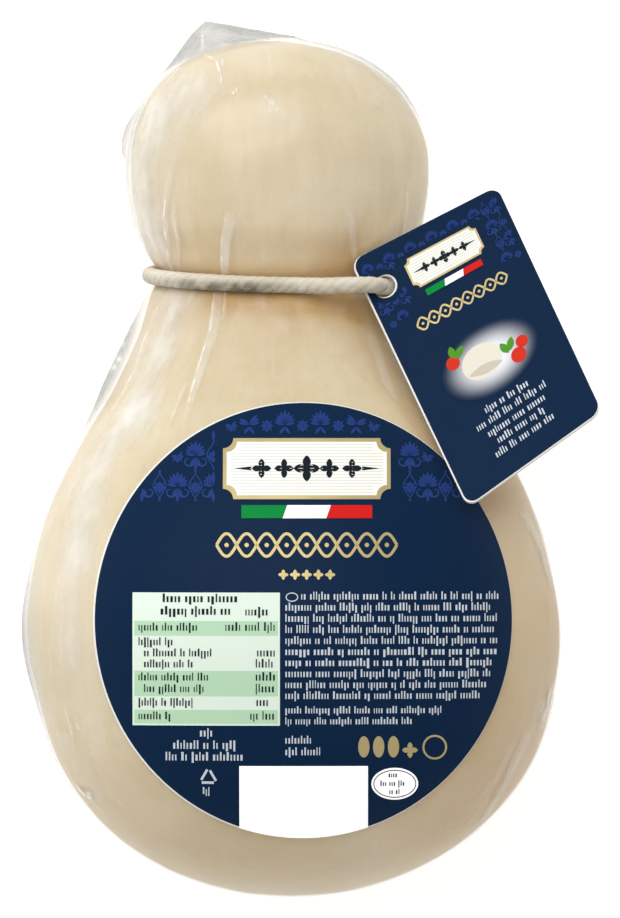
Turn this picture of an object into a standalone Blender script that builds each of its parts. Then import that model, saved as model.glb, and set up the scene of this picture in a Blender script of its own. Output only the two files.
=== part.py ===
"""A scamorza: a pear-shaped cheese in clear shrink film, tied at the neck with a cotton cord.

It lies on its back. +X is to the right of its front, +Y runs from the body to the head and +Z is up,
out of its front. The origin is on the surface it lies on, below the middle of its box.
Sizes below are in millimetres, and metres() turns them into Blender's metres.
"""

from math import cos, exp, hypot, pi, radians, sin

import bmesh
import bpy
from mathutils import Vector
from mathutils.geometry import delaunay_2d_cdt

MM = 0.001
GAP = 0.3  # air left between pieces that touch

# The pear. Widths are half widths, seen from the front.
BODY_Y = -25.8  # where the body is widest
BODY_HALF_WIDTH = 39.3
BODY_END = 38.1  # from the widest place to the rounded bottom
BODY_END_POWER = 2.07
BODY_STRAIGHT_Y = -36.0  # the flanks are a little straighter here than a rounded form
BODY_STRAIGHT_REACH = 7.0
BODY_STRAIGHT_SHARE = 0.014
HEAD_Y = 42.0  # where the head is widest
HEAD_HALF_WIDTH = 22.2
HEAD_END = 19.3  # from the widest place to the crown
HEAD_END_POWER = 2.25
HEAD_END_LEAN = 0.1  # the crown is fuller at the left
NECK_Y = 25.4
FLANK = (  # (y, half width) from the body's widest place, over shoulder and neck, to the head's
    (BODY_Y, BODY_HALF_WIDTH),
    (-14.9, 37.7),
    (-6.1, 34.9),
    (2.6, 30.4),
    (9.0, 26.1),
    (15.7, 22.1),
    (21.5, 19.4),
    (NECK_Y, 18.6),
    (29.5, 19.5),
    (34.0, 21.2),
    (HEAD_Y, HEAD_HALF_WIDTH),
)
CENTRE_LINE = (  # (y, x) of the middle of each section
    (-63.9, -2.9),
    (-42.0, -2.3),
    (-25.0, -2.9),
    (-8.0, -3.0),
    (2.6, -3.0),
    (15.7, -4.1),
    (NECK_Y, -4.7),
    (HEAD_Y, -4.85),
    (61.3, -4.6),
)
SECTION_POWER = 2.2  # a little squarer than an ellipse, so the front is flatter
BODY_DEPTH_SHARE = 0.82  # depth over width
HEAD_DEPTH_SHARE = 0.9
BODY_PRESSED = 0.4  # how far the resting place on the body's back is flattened
HEAD_PRESSED = 0.25

# The cord round the neck, which lies in a tilted plane and sinks into a groove.
CORD_RADIUS = 1.1
CORD_Y = 26.3
CORD_Y_ACROSS = -0.5
CORD_Y_DEEP = -1.15
GROOVE_SHARE = 0.065  # of the neck's width
GROOVE_REACH = 1.6
WAIST_REACH = 8.0  # the neck is narrowest along the cord, this far above and below it

# Gathers of the film above and below the cord.
GATHERS = 13
GATHER_SHARE = 0.011
GATHER_REACH = 9.0

# The film's standing fold along the left shoulder.
FOLD_Y = 13.5
FOLD_HALF_LENGTH = 12.0
FOLD_HEIGHT = 1.8
FOLD_HALF_ANGLE = radians(26)

# The film's loose ear at the head's upper left, a pinched corner with a thin edge.
EAR_OUTLINE = (
    (8.6, 57.5),
    (4.3, 59.6),
    (-2.6, 61.8),
    (-7.2, 62.5),
    (-12.3, 63.0),
    (-15.5, 64.0),
    (-17.5, 62.0),
    (-19.5, 58.1),
    (-22.1, 55.4),
    (-25.6, 51.0),
    (-27.0, 48.8),
    (-27.7, 46.6),
    (-27.6, 44.4),
)
EAR_EDGE_THICKNESS = 0.7
EAR_CORE_SHARE = 0.97  # of the head, hidden inside it, that the ear grows out of

SIDES = 60
BODY_RINGS = 14
SHOULDER_RINGS = 14
NECK_RINGS = 17  # close together, for the groove
NAPE_RINGS = 4
HEAD_RINGS = 10
NECK_FROM = 19.5
NECK_TO = 32.5

# The round label on the front.
LABEL_CENTRE = (-1.22, -23.35)
LABEL_HALF_WIDTH = 30.0
LABEL_HALF_HEIGHT = 31.25
LABEL_THICKNESS = 0.3
LABEL_STEP = 3.6

# The hang tag: its size, its corners as (x, y, z) of its middle layer, and the hole the cord runs through.
TAG_WIDTH = 24.8
TAG_LENGTH = 43.5
TAG_THICKNESS = 0.5
TAG_CORNER_RADIUS = 1.8
TAG_TOP_LEFT = (5.7, 28.5, 36.7)
TAG_TOP_RIGHT = (27.1, 39.5, 30.1)
TAG_BOTTOM_LEFT = (22.6, -7.2, 55.5)
TAG_BOTTOM_RIGHT = (42.0, 6.65, 52.7)
TAG_SAG = 0.8  # the middle of its length hangs this much below a straight line
TAG_HOLE_ACROSS = 3.0
TAG_HOLE_ALONG = 6.1
TAG_HOLE_RADIUS = 1.75
TAG_STEP = 3.0

# Where the cord leaves the neck, runs over the tag's corner and down through its hole.
CORD_LEAVES = radians(84)
CORD_RETURNS = radians(378)
CORD_OVER_TAG = (
    (1.5, 25.0, 39.7),
    (5.0, 25.1, 40.5),
    (8.1, 25.15, 40.7),
    (9.9, 25.05, 39.5),
    (10.4, 24.95, 36.9),
    (11.9, 25.0, 32.6),
)
CORD_POINTS = 48
CORD_STANDS_OFF_BEHIND = 0.15  # more air behind the neck, where it slants


def clear_scene():
    for old in list(bpy.data.objects):
        bpy.data.objects.remove(old, do_unlink=True)


def metres(point):
    return Vector(point) * MM


def smooth_through(stations, y):
    """The value at y of a smooth curve through (y, value) stations, level at both ends."""
    last = len(stations) - 1
    if y <= stations[0][0]:
        return stations[0][1]
    if y >= stations[last][0]:
        return stations[last][1]
    i = max(k for k in range(last) if stations[k][0] <= y)

    def slope(k):
        if k in (0, last):
            return 0.0
        before, after = stations[k - 1], stations[k + 1]
        return (after[1] - before[1]) / (after[0] - before[0])

    (y0, v0), (y1, v1) = stations[i], stations[i + 1]
    step = y1 - y0
    t = (y - y0) / step
    rising = 3 * t**2 - 2 * t**3
    leaving = (t**3 - 2 * t**2 + t) * step * slope(i)
    arriving = (t**3 - t**2) * step * slope(i + 1)
    return v0 + (v1 - v0) * rising + leaving + arriving


def rounded_end(t, power):
    """Half width, as a share, at the share t of the way to the end of a rounded form."""
    return max(0.0, 1 - min(t, 1.0) ** power) ** (1 / power)


def half_width(y, head_power=HEAD_END_POWER):
    straighter = 1 - BODY_STRAIGHT_SHARE * bell(y - BODY_STRAIGHT_Y, BODY_STRAIGHT_REACH)
    if y < BODY_Y:
        return straighter * BODY_HALF_WIDTH * rounded_end((BODY_Y - y) / BODY_END, BODY_END_POWER)
    if y > HEAD_Y:
        return HEAD_HALF_WIDTH * rounded_end((y - HEAD_Y) / HEAD_END, head_power)
    return straighter * smooth_through(FLANK, y)


def from_body_to_head(y, body_value, head_value):
    return smooth_through(((BODY_Y, body_value), (HEAD_Y, head_value)), y)


def half_depth(y, head_power=HEAD_END_POWER):
    return half_width(y, head_power) * from_body_to_head(y, BODY_DEPTH_SHARE, HEAD_DEPTH_SHARE)


def centre_z(y):
    """Body and head both lie on the surface, each pressed a little flat."""
    body = BODY_HALF_WIDTH * BODY_DEPTH_SHARE - BODY_PRESSED
    head = HEAD_HALF_WIDTH * HEAD_DEPTH_SHARE - HEAD_PRESSED
    return from_body_to_head(y, body, head)


def cord_y(angle):
    return CORD_Y + CORD_Y_ACROSS * cos(angle) + CORD_Y_DEEP * sin(angle)


def bell(distance, reach):
    return exp(-((distance / reach) ** 2))


def swell(y, angle):
    """How much wider than its plain section the wrapped cheese is, as a share."""
    from_cord = y - cord_y(angle)
    groove = GROOVE_SHARE * bell(from_cord, GROOVE_REACH)
    beside_it = bell(from_cord, GATHER_REACH) - bell(from_cord, 2 * GROOVE_REACH)
    gathers = GATHER_SHARE * cos(GATHERS * angle) * beside_it
    return 1 - groove + gathers


def fold_height(y, angle):
    along = abs(y - FOLD_Y) / FOLD_HALF_LENGTH
    round_it = abs(angle - pi) / FOLD_HALF_ANGLE
    if along >= 1 or round_it >= 1:
        return 0.0
    return FOLD_HEIGHT * cos(along * pi / 2) * cos(round_it * pi / 2) ** 2


def power_of(value):
    """value to the power that makes a section's circle squarer, with its sign kept."""
    return (1 if value >= 0 else -1) * abs(value) ** (2 / SECTION_POWER)


def surface(y, angle, out=0.0):
    """A point of the film. Angle 0 is at the right, a quarter turn is at the front."""
    waist_y = y - (cord_y(angle) - NECK_Y) * bell(y - NECK_Y, WAIST_REACH)
    head_power = HEAD_END_POWER - HEAD_END_LEAN * cos(angle)
    wide = half_width(waist_y, head_power) * swell(y, angle) + fold_height(y, angle) + out
    deep = half_depth(waist_y, head_power) * swell(y, angle) + out
    x = smooth_through(CENTRE_LINE, y) + wide * power_of(cos(angle))
    z = centre_z(y) + deep * power_of(sin(angle))
    return (x, y, max(z, 0.0))


def front(x, y, out=0.0):
    """The point above (x, y) on the body's front, moved out square to it."""

    def height(across, along):
        share = abs(across - smooth_through(CENTRE_LINE, along)) / half_width(along)
        return centre_z(along) + half_depth(along) * rounded_end(share, SECTION_POWER)

    step = 0.05
    slope_x = (height(x + step, y) - height(x - step, y)) / (2 * step)
    slope_y = (height(x, y + step) - height(x, y - step)) / (2 * step)
    normal = Vector((-slope_x, -slope_y, 1)).normalized()
    return Vector((x, y, height(x, y))) + normal * out


def principled(name, colour, roughness, metallic=0.0):
    material = bpy.data.materials.new(name)
    material.use_nodes = True
    shader = material.node_tree.nodes["Principled BSDF"]
    shader.inputs["Base Color"].default_value = (*colour, 1)
    shader.inputs["Roughness"].default_value = roughness
    shader.inputs["Metallic"].default_value = metallic
    return material


def add_object(name, data, material):
    obj = bpy.data.objects.new(name, data)
    bpy.context.scene.collection.objects.link(obj)
    data.materials.append(material)
    return obj


def mesh_of(name, bm):
    bmesh.ops.recalc_face_normals(bm, faces=bm.faces)
    mesh = bpy.data.meshes.new(name)
    bm.to_mesh(mesh)
    bm.free()
    mesh.shade_smooth()
    mesh.set_sharp_from_angle(angle=radians(40))
    return mesh


def spaced(start, end, count):
    """Even steps from start up to, and without, end."""
    return [start + (end - start) * i / count for i in range(count)]


def ring_places():
    """The y of each ring, from the bottom to the crown, without the two poles."""
    body = []
    for i in range(1, BODY_RINGS):
        turn = pi / 2 * (1 - i / BODY_RINGS)
        body.append(BODY_Y - BODY_END * sin(turn) ** (2 / BODY_END_POWER))
    shoulder = spaced(BODY_Y, NECK_FROM, SHOULDER_RINGS)
    neck = spaced(NECK_FROM, NECK_TO, NECK_RINGS)
    nape = spaced(NECK_TO, HEAD_Y, NAPE_RINGS)
    head = [HEAD_Y]
    for i in range(1, HEAD_RINGS):
        turn = pi / 2 * i / HEAD_RINGS
        head.append(HEAD_Y + HEAD_END * sin(turn) ** (2 / HEAD_END_POWER))
    return body + shoulder + neck + nape + head


def pear_mesh():
    bm = bmesh.new()
    rings = []
    for y in ring_places():
        turns = [2 * pi * k / SIDES for k in range(SIDES)]
        rings.append([bm.verts.new(metres(surface(y, turn))) for turn in turns])
    for lower, upper in zip(rings, rings[1:]):
        for k in range(SIDES):
            after = (k + 1) % SIDES
            bm.faces.new((lower[k], lower[after], upper[after], upper[k]))
    bottom_y = BODY_Y - BODY_END
    crown_y = HEAD_Y + HEAD_END
    for ring, y in ((rings[0], bottom_y), (rings[-1], crown_y)):
        pole = bm.verts.new(metres((smooth_through(CENTRE_LINE, y), y, centre_z(y))))
        for k in range(SIDES):
            bm.faces.new((pole, ring[k], ring[(k + 1) % SIDES]))
    return mesh_of("wrapped_cheese", bm)


def ear_mesh():
    """Film stretched from a core inside the head to the ear's thin edge."""
    bm = bmesh.new()
    for x, y in EAR_OUTLINE:
        for side in (-0.5, 0.5):
            bm.verts.new(metres((x, y, centre_z(y) + side * EAR_EDGE_THICKNESS)))
    core_x = smooth_through(CENTRE_LINE, HEAD_Y)
    for i in range(9):
        y = HEAD_Y + HEAD_END * 0.96 * i / 8
        for k in range(24):
            x, _, z = surface(y, 2 * pi * k / 24)
            away = Vector((x - core_x, y - HEAD_Y, z - centre_z(y))) * EAR_CORE_SHARE
            bm.verts.new(metres(away + Vector((core_x, HEAD_Y, centre_z(y)))))
    bmesh.ops.convex_hull(bm, input=bm.verts)
    within = [v for v in bm.verts if not v.link_faces]
    bmesh.ops.delete(bm, geom=within, context="VERTS")
    return mesh_of("film_ear", bm)


def wrapped_cheese():
    film = principled("clear film over ivory cheese", (0.72, 0.60, 0.42), 0.25)
    cheese = add_object("wrapped_cheese", pear_mesh(), film)
    ear = add_object("film_ear", ear_mesh(), film)
    ear.hide_render = True
    ear.display_type = "WIRE"
    join = cheese.modifiers.new("ear", "BOOLEAN")
    join.operation = "UNION"
    join.object = ear
    return cheese


def evenly_along(corners, step, closed=True):
    """Points along straight edges between corners, no further apart than step."""
    points = []
    count = len(corners) if closed else len(corners) - 1
    for i in range(count):
        (x0, y0), (x1, y1) = corners[i], corners[(i + 1) % len(corners)]
        pieces = max(1, round(hypot(x1 - x0, y1 - y0) / step))
        points += [(x0 + (x1 - x0) * k / pieces, y0 + (y1 - y0) * k / pieces) for k in range(pieces)]
    return points


def ellipse(centre, half_wide, half_high, count):
    turns = [2 * pi * k / count for k in range(count)]
    return [(centre[0] + half_wide * cos(t), centre[1] + half_high * sin(t)) for t in turns]


def rounded_rectangle(wide, high, radius, corner_steps=4):
    centres = ((wide - radius, high - radius), (radius, high - radius), (radius, radius), (wide - radius, radius))
    points = []
    for quarter, (x, y) in enumerate(centres):
        for k in range(corner_steps + 1):
            turn = pi / 2 * (quarter + k / corner_steps)
            points.append((x + radius * cos(turn), y + radius * sin(turn)))
    return points


def inside(point, loop):
    """True if the point lies within the closed loop."""
    x, y = point
    within = False
    for (x0, y0), (x1, y1) in zip(loop, loop[1:] + loop[:1]):
        if (y0 > y) != (y1 > y) and x < x0 + (x1 - x0) * (y - y0) / (y1 - y0):
            within = not within
    return within


def near(point, loop, distance):
    return any(hypot(point[0] - x, point[1] - y) < distance for x, y in loop)


def flat_triangles(outline, holes, step):
    """(points, triangles) that fill an outline, apart from its holes, at about this step."""
    loops = [outline, *holes]
    points = [p for loop in loops for p in loop]
    edges = []
    start = 0
    for loop in loops:
        edges += [(start + k, start + (k + 1) % len(loop)) for k in range(len(loop))]
        start += len(loop)
    xs, ys = [p[0] for p in outline], [p[1] for p in outline]
    rows = int((max(ys) - min(ys)) / step) + 1
    columns = int((max(xs) - min(xs)) / step) + 2
    for row in range(rows):
        for column in range(columns):
            place = (min(xs) + (column + row % 2 / 2) * step, min(ys) + (row + 0.5) * step)
            open_to_it = inside(place, outline) and not any(inside(place, hole) for hole in holes)
            if open_to_it and not any(near(place, loop, 0.5 * step) for loop in loops):
                points.append(place)
    made = delaunay_2d_cdt([Vector(p) for p in points], edges, [], 1, 1e-5)
    flat = [tuple(p) for p in made[0]]
    triangles = []
    for face in made[2]:
        middle = tuple(sum(flat[k][axis] for k in face) / 3 for axis in (0, 1))
        if inside(middle, outline) and not any(inside(middle, hole) for hole in holes):
            triangles.append(face)
    return flat, triangles


def plate_mesh(name, outline, holes, step, place, lower, upper):
    """A thin closed plate: flat triangles laid on a surface at two distances from it."""
    flat, triangles = flat_triangles(outline, holes, step)
    bm = bmesh.new()
    below = [bm.verts.new(metres(place(*p, lower))) for p in flat]
    above = [bm.verts.new(metres(place(*p, upper))) for p in flat]
    rim = {}
    for face in triangles:
        bm.faces.new([above[k] for k in face])
        bm.faces.new([below[k] for k in reversed(face)])
        for a, b in zip(face, face[1:] + face[:1]):
            rim[(a, b)] = rim.get((a, b), 0) + 1
    for a, b in rim:
        if (b, a) not in rim:
            bm.faces.new((below[a], below[b], above[b], above[a]))
    loose = [v for v in bm.verts if not v.link_faces]
    bmesh.ops.delete(bm, geom=loose, context="VERTS")
    return mesh_of(name, bm)


def front_label():
    outline = ellipse(LABEL_CENTRE, LABEL_HALF_WIDTH, LABEL_HALF_HEIGHT, 56)
    mesh = plate_mesh("front_label", outline, [], LABEL_STEP, front, GAP, GAP + LABEL_THICKNESS)
    return add_object("front_label", mesh, principled("navy label", (0.006, 0.024, 0.063), 0.35))


def tag_place(across, along, out=0.0):
    """A point of the bent tag, from its top left corner."""

    def middle(a, b):
        u, v = a / TAG_WIDTH, b / TAG_LENGTH
        top = Vector(TAG_TOP_LEFT).lerp(Vector(TAG_TOP_RIGHT), u)
        bottom = Vector(TAG_BOTTOM_LEFT).lerp(Vector(TAG_BOTTOM_RIGHT), u)
        return top.lerp(bottom, v) - Vector((0, 0, TAG_SAG * sin(pi * v)))

    step = 0.05
    run_across = middle(across + step, along) - middle(across - step, along)
    run_along = middle(across, along + step) - middle(across, along - step)
    normal = run_along.cross(run_across).normalized()
    return middle(across, along) + normal * out


def hang_tag():
    outline = evenly_along(rounded_rectangle(TAG_WIDTH, TAG_LENGTH, TAG_CORNER_RADIUS), TAG_STEP)
    hole = ellipse((TAG_HOLE_ACROSS, TAG_HOLE_ALONG), TAG_HOLE_RADIUS, TAG_HOLE_RADIUS, 20)
    half = TAG_THICKNESS / 2
    mesh = plate_mesh("hang_tag", outline, [hole], TAG_STEP, tag_place, -half, half)
    return add_object("hang_tag", mesh, principled("navy card", (0.007, 0.027, 0.070), 0.3))


def cord_route():
    """Points round the neck and, at its right front, over the tag's corner and through its hole."""
    route = [Vector(point) for point in reversed(CORD_OVER_TAG)]
    steps = 30
    for k in range(steps + 1):
        angle = CORD_LEAVES + (CORD_RETURNS - CORD_LEAVES) * k / steps
        clear = CORD_RADIUS + GAP + CORD_STANDS_OFF_BEHIND * max(0.0, -sin(angle))
        route.append(Vector(surface(cord_y(angle), angle % (2 * pi), clear)))
    return route


def even_loop(route, count):
    """The closed route as this many points at even distances, on a smooth curve through it."""
    fine = []
    parts = 12
    for i in range(len(route)):
        before, start = route[i - 1], route[i]
        end, after = route[(i + 1) % len(route)], route[(i + 2) % len(route)]
        for k in range(parts):
            t = k / parts
            pull = (end - before) * (t**3 - 2 * t**2 + t) + (after - start) * (t**3 - t**2)
            fine.append(start.lerp(end, 3 * t**2 - 2 * t**3) + pull / 2)
    lengths = [(fine[(i + 1) % len(fine)] - p).length for i, p in enumerate(fine)]
    step = sum(lengths) / count
    points, due = [], 0.0
    for p, after, length in zip(fine, fine[1:] + fine[:1], lengths):
        while due < length - 1e-9 and len(points) < count:
            points.append(p.lerp(after, due / length))
            due += step
        due -= length
    return points


def neck_cord():
    points = even_loop(cord_route(), CORD_POINTS)
    curve = bpy.data.curves.new("neck_cord", "CURVE")
    curve.dimensions = "3D"
    curve.bevel_depth = CORD_RADIUS * MM
    curve.bevel_resolution = 2
    spline = curve.splines.new("POLY")
    spline.points.add(len(points) - 1)
    for target, point in zip(spline.points, points):
        target.co = (*metres(point), 1)
    spline.use_cyclic_u = True
    spline.use_smooth = True
    return add_object("neck_cord", curve, principled("natural cotton", (0.50, 0.42, 0.31), 0.9))


clear_scene()
wrapped_cheese()
front_label()
hang_tag()
neck_cord()
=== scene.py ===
"""The looks of a scamorza in clear shrink film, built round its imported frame.

Sizes are in millimetres along the frame's own axes, as in the part: +X to the right of the front,
+Y from the body to the head, +Z up, out of the front. MM turns them into Blender's metres.
"""

import random
from collections import namedtuple
from math import cos, hypot, pi, radians, sin

import bmesh
import bpy
import numpy as np
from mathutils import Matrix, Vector, noise
from mathutils.bvhtree import BVHTree
from mathutils.geometry import delaunay_2d_cdt


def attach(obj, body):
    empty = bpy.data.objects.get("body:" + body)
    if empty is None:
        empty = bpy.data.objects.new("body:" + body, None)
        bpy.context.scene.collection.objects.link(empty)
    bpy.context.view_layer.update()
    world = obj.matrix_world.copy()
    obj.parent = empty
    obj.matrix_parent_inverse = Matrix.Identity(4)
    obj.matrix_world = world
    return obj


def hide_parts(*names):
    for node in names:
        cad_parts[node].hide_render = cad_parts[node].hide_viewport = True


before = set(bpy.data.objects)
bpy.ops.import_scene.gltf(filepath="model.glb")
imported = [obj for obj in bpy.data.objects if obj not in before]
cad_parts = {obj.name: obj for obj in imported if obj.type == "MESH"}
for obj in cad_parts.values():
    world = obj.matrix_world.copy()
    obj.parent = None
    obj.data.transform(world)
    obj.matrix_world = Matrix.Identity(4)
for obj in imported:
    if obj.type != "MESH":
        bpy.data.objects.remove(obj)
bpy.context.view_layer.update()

MM = 0.001

# The pear, as in the part. Widths are half widths, seen from the front.
BODY_Y = -25.8
BODY_HALF_WIDTH = 39.3
BODY_END = 38.1
BODY_END_POWER = 2.07
BODY_STRAIGHT_Y = -36.0
BODY_STRAIGHT_REACH = 7.0
BODY_STRAIGHT_SHARE = 0.014
HEAD_Y = 42.0
HEAD_HALF_WIDTH = 22.2
HEAD_END = 19.3
HEAD_END_POWER = 2.25
HEAD_END_LEAN = 0.1  # the crown is fuller at the left
NECK_Y = 25.4
FLANK = (
    (BODY_Y, BODY_HALF_WIDTH), (-14.9, 37.7), (-6.1, 34.9), (2.6, 30.4),
    (9.0, 26.1), (15.7, 22.1), (21.5, 19.4), (NECK_Y, 18.6),
    (29.5, 19.5), (34.0, 21.2), (HEAD_Y, HEAD_HALF_WIDTH),
)
CENTRE_LINE = (
    (-63.9, -2.9), (-42.0, -2.3), (-25.0, -2.9), (-8.0, -3.0), (2.6, -3.0),
    (15.7, -4.1), (NECK_Y, -4.7), (HEAD_Y, -4.85), (61.3, -4.6),
)
SECTION_POWER = 2.2
BODY_DEPTH_SHARE = 0.82
HEAD_DEPTH_SHARE = 0.9
BODY_PRESSED = 0.4
HEAD_PRESSED = 0.25

CORD_RADIUS = 1.1
CORD_Y = 26.3
CORD_Y_ACROSS = -0.5
CORD_Y_DEEP = -1.15
GROOVE_SHARE = 0.065
GROOVE_REACH = 1.6
WAIST_REACH = 8.0
GATHER_SHARE = 0.011
GATHER_REACH = 9.0
GATHER_WAVES = ((9, 1.0, 0.5), (14, 2.2, 0.45), (23, 0.7, 0.3))  # (lobes, phase, share)

# The film.
FILM_GAP = 0.12  # between cheese and film where the film lies on it
FOLD_Y = 13.5  # the standing fold along the left shoulder
FOLD_HALF_LENGTH = 12.0
FOLD_HEIGHT = 1.8
FOLD_HALF_ANGLE = radians(26)
EAR_OUTLINE = (
    (8.6, 57.5), (4.3, 59.6), (-2.6, 61.8), (-7.2, 62.5), (-12.3, 63.0),
    (-15.5, 64.0), (-17.5, 62.0), (-19.5, 58.1), (-22.1, 55.4), (-25.6, 51.0),
    (-27.0, 48.8), (-27.7, 46.6), (-27.6, 44.4),
)
EAR_EDGE_THICKNESS = 0.3
EAR_CORE_SHARE = 0.97

# Pleats of the film's hidden sides: both ends, with angles in degrees, and the doubled strip's width.
Pleat = namedtuple("Pleat", "y_from angle_from y_to angle_to height strip")
PLEATS = (
    (28.2, 30.0, 40.0, 33.0, 0.25, 1.0),
    (28.4, -25.0, 42.0, -22.0, 0.30, 1.4),
    (28.4, -62.0, 37.0, -60.0, 0.30, 1.8),
    (28.4, -98.0, 44.0, -101.0, 0.28, 1.2),
    (28.4, -135.0, 36.0, -139.0, 0.30, 1.6),
    (28.6, -168.0, 40.0, -172.0, 0.30, 1.0),
    (24.0, 20.0, 6.0, 15.0, 0.28, 1.2),
    (24.4, -30.0, 2.0, -26.0, 0.32, 1.8),
    (24.4, -70.0, 8.0, -67.0, 0.30, 1.4),
    (24.4, -108.0, 4.0, -112.0, 0.32, 2.0),
    (24.4, -147.0, 9.0, -152.0, 0.28, 1.2),
)
PLEAT_LINE = 0.24  # half width of a pleat's raised edge

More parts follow.
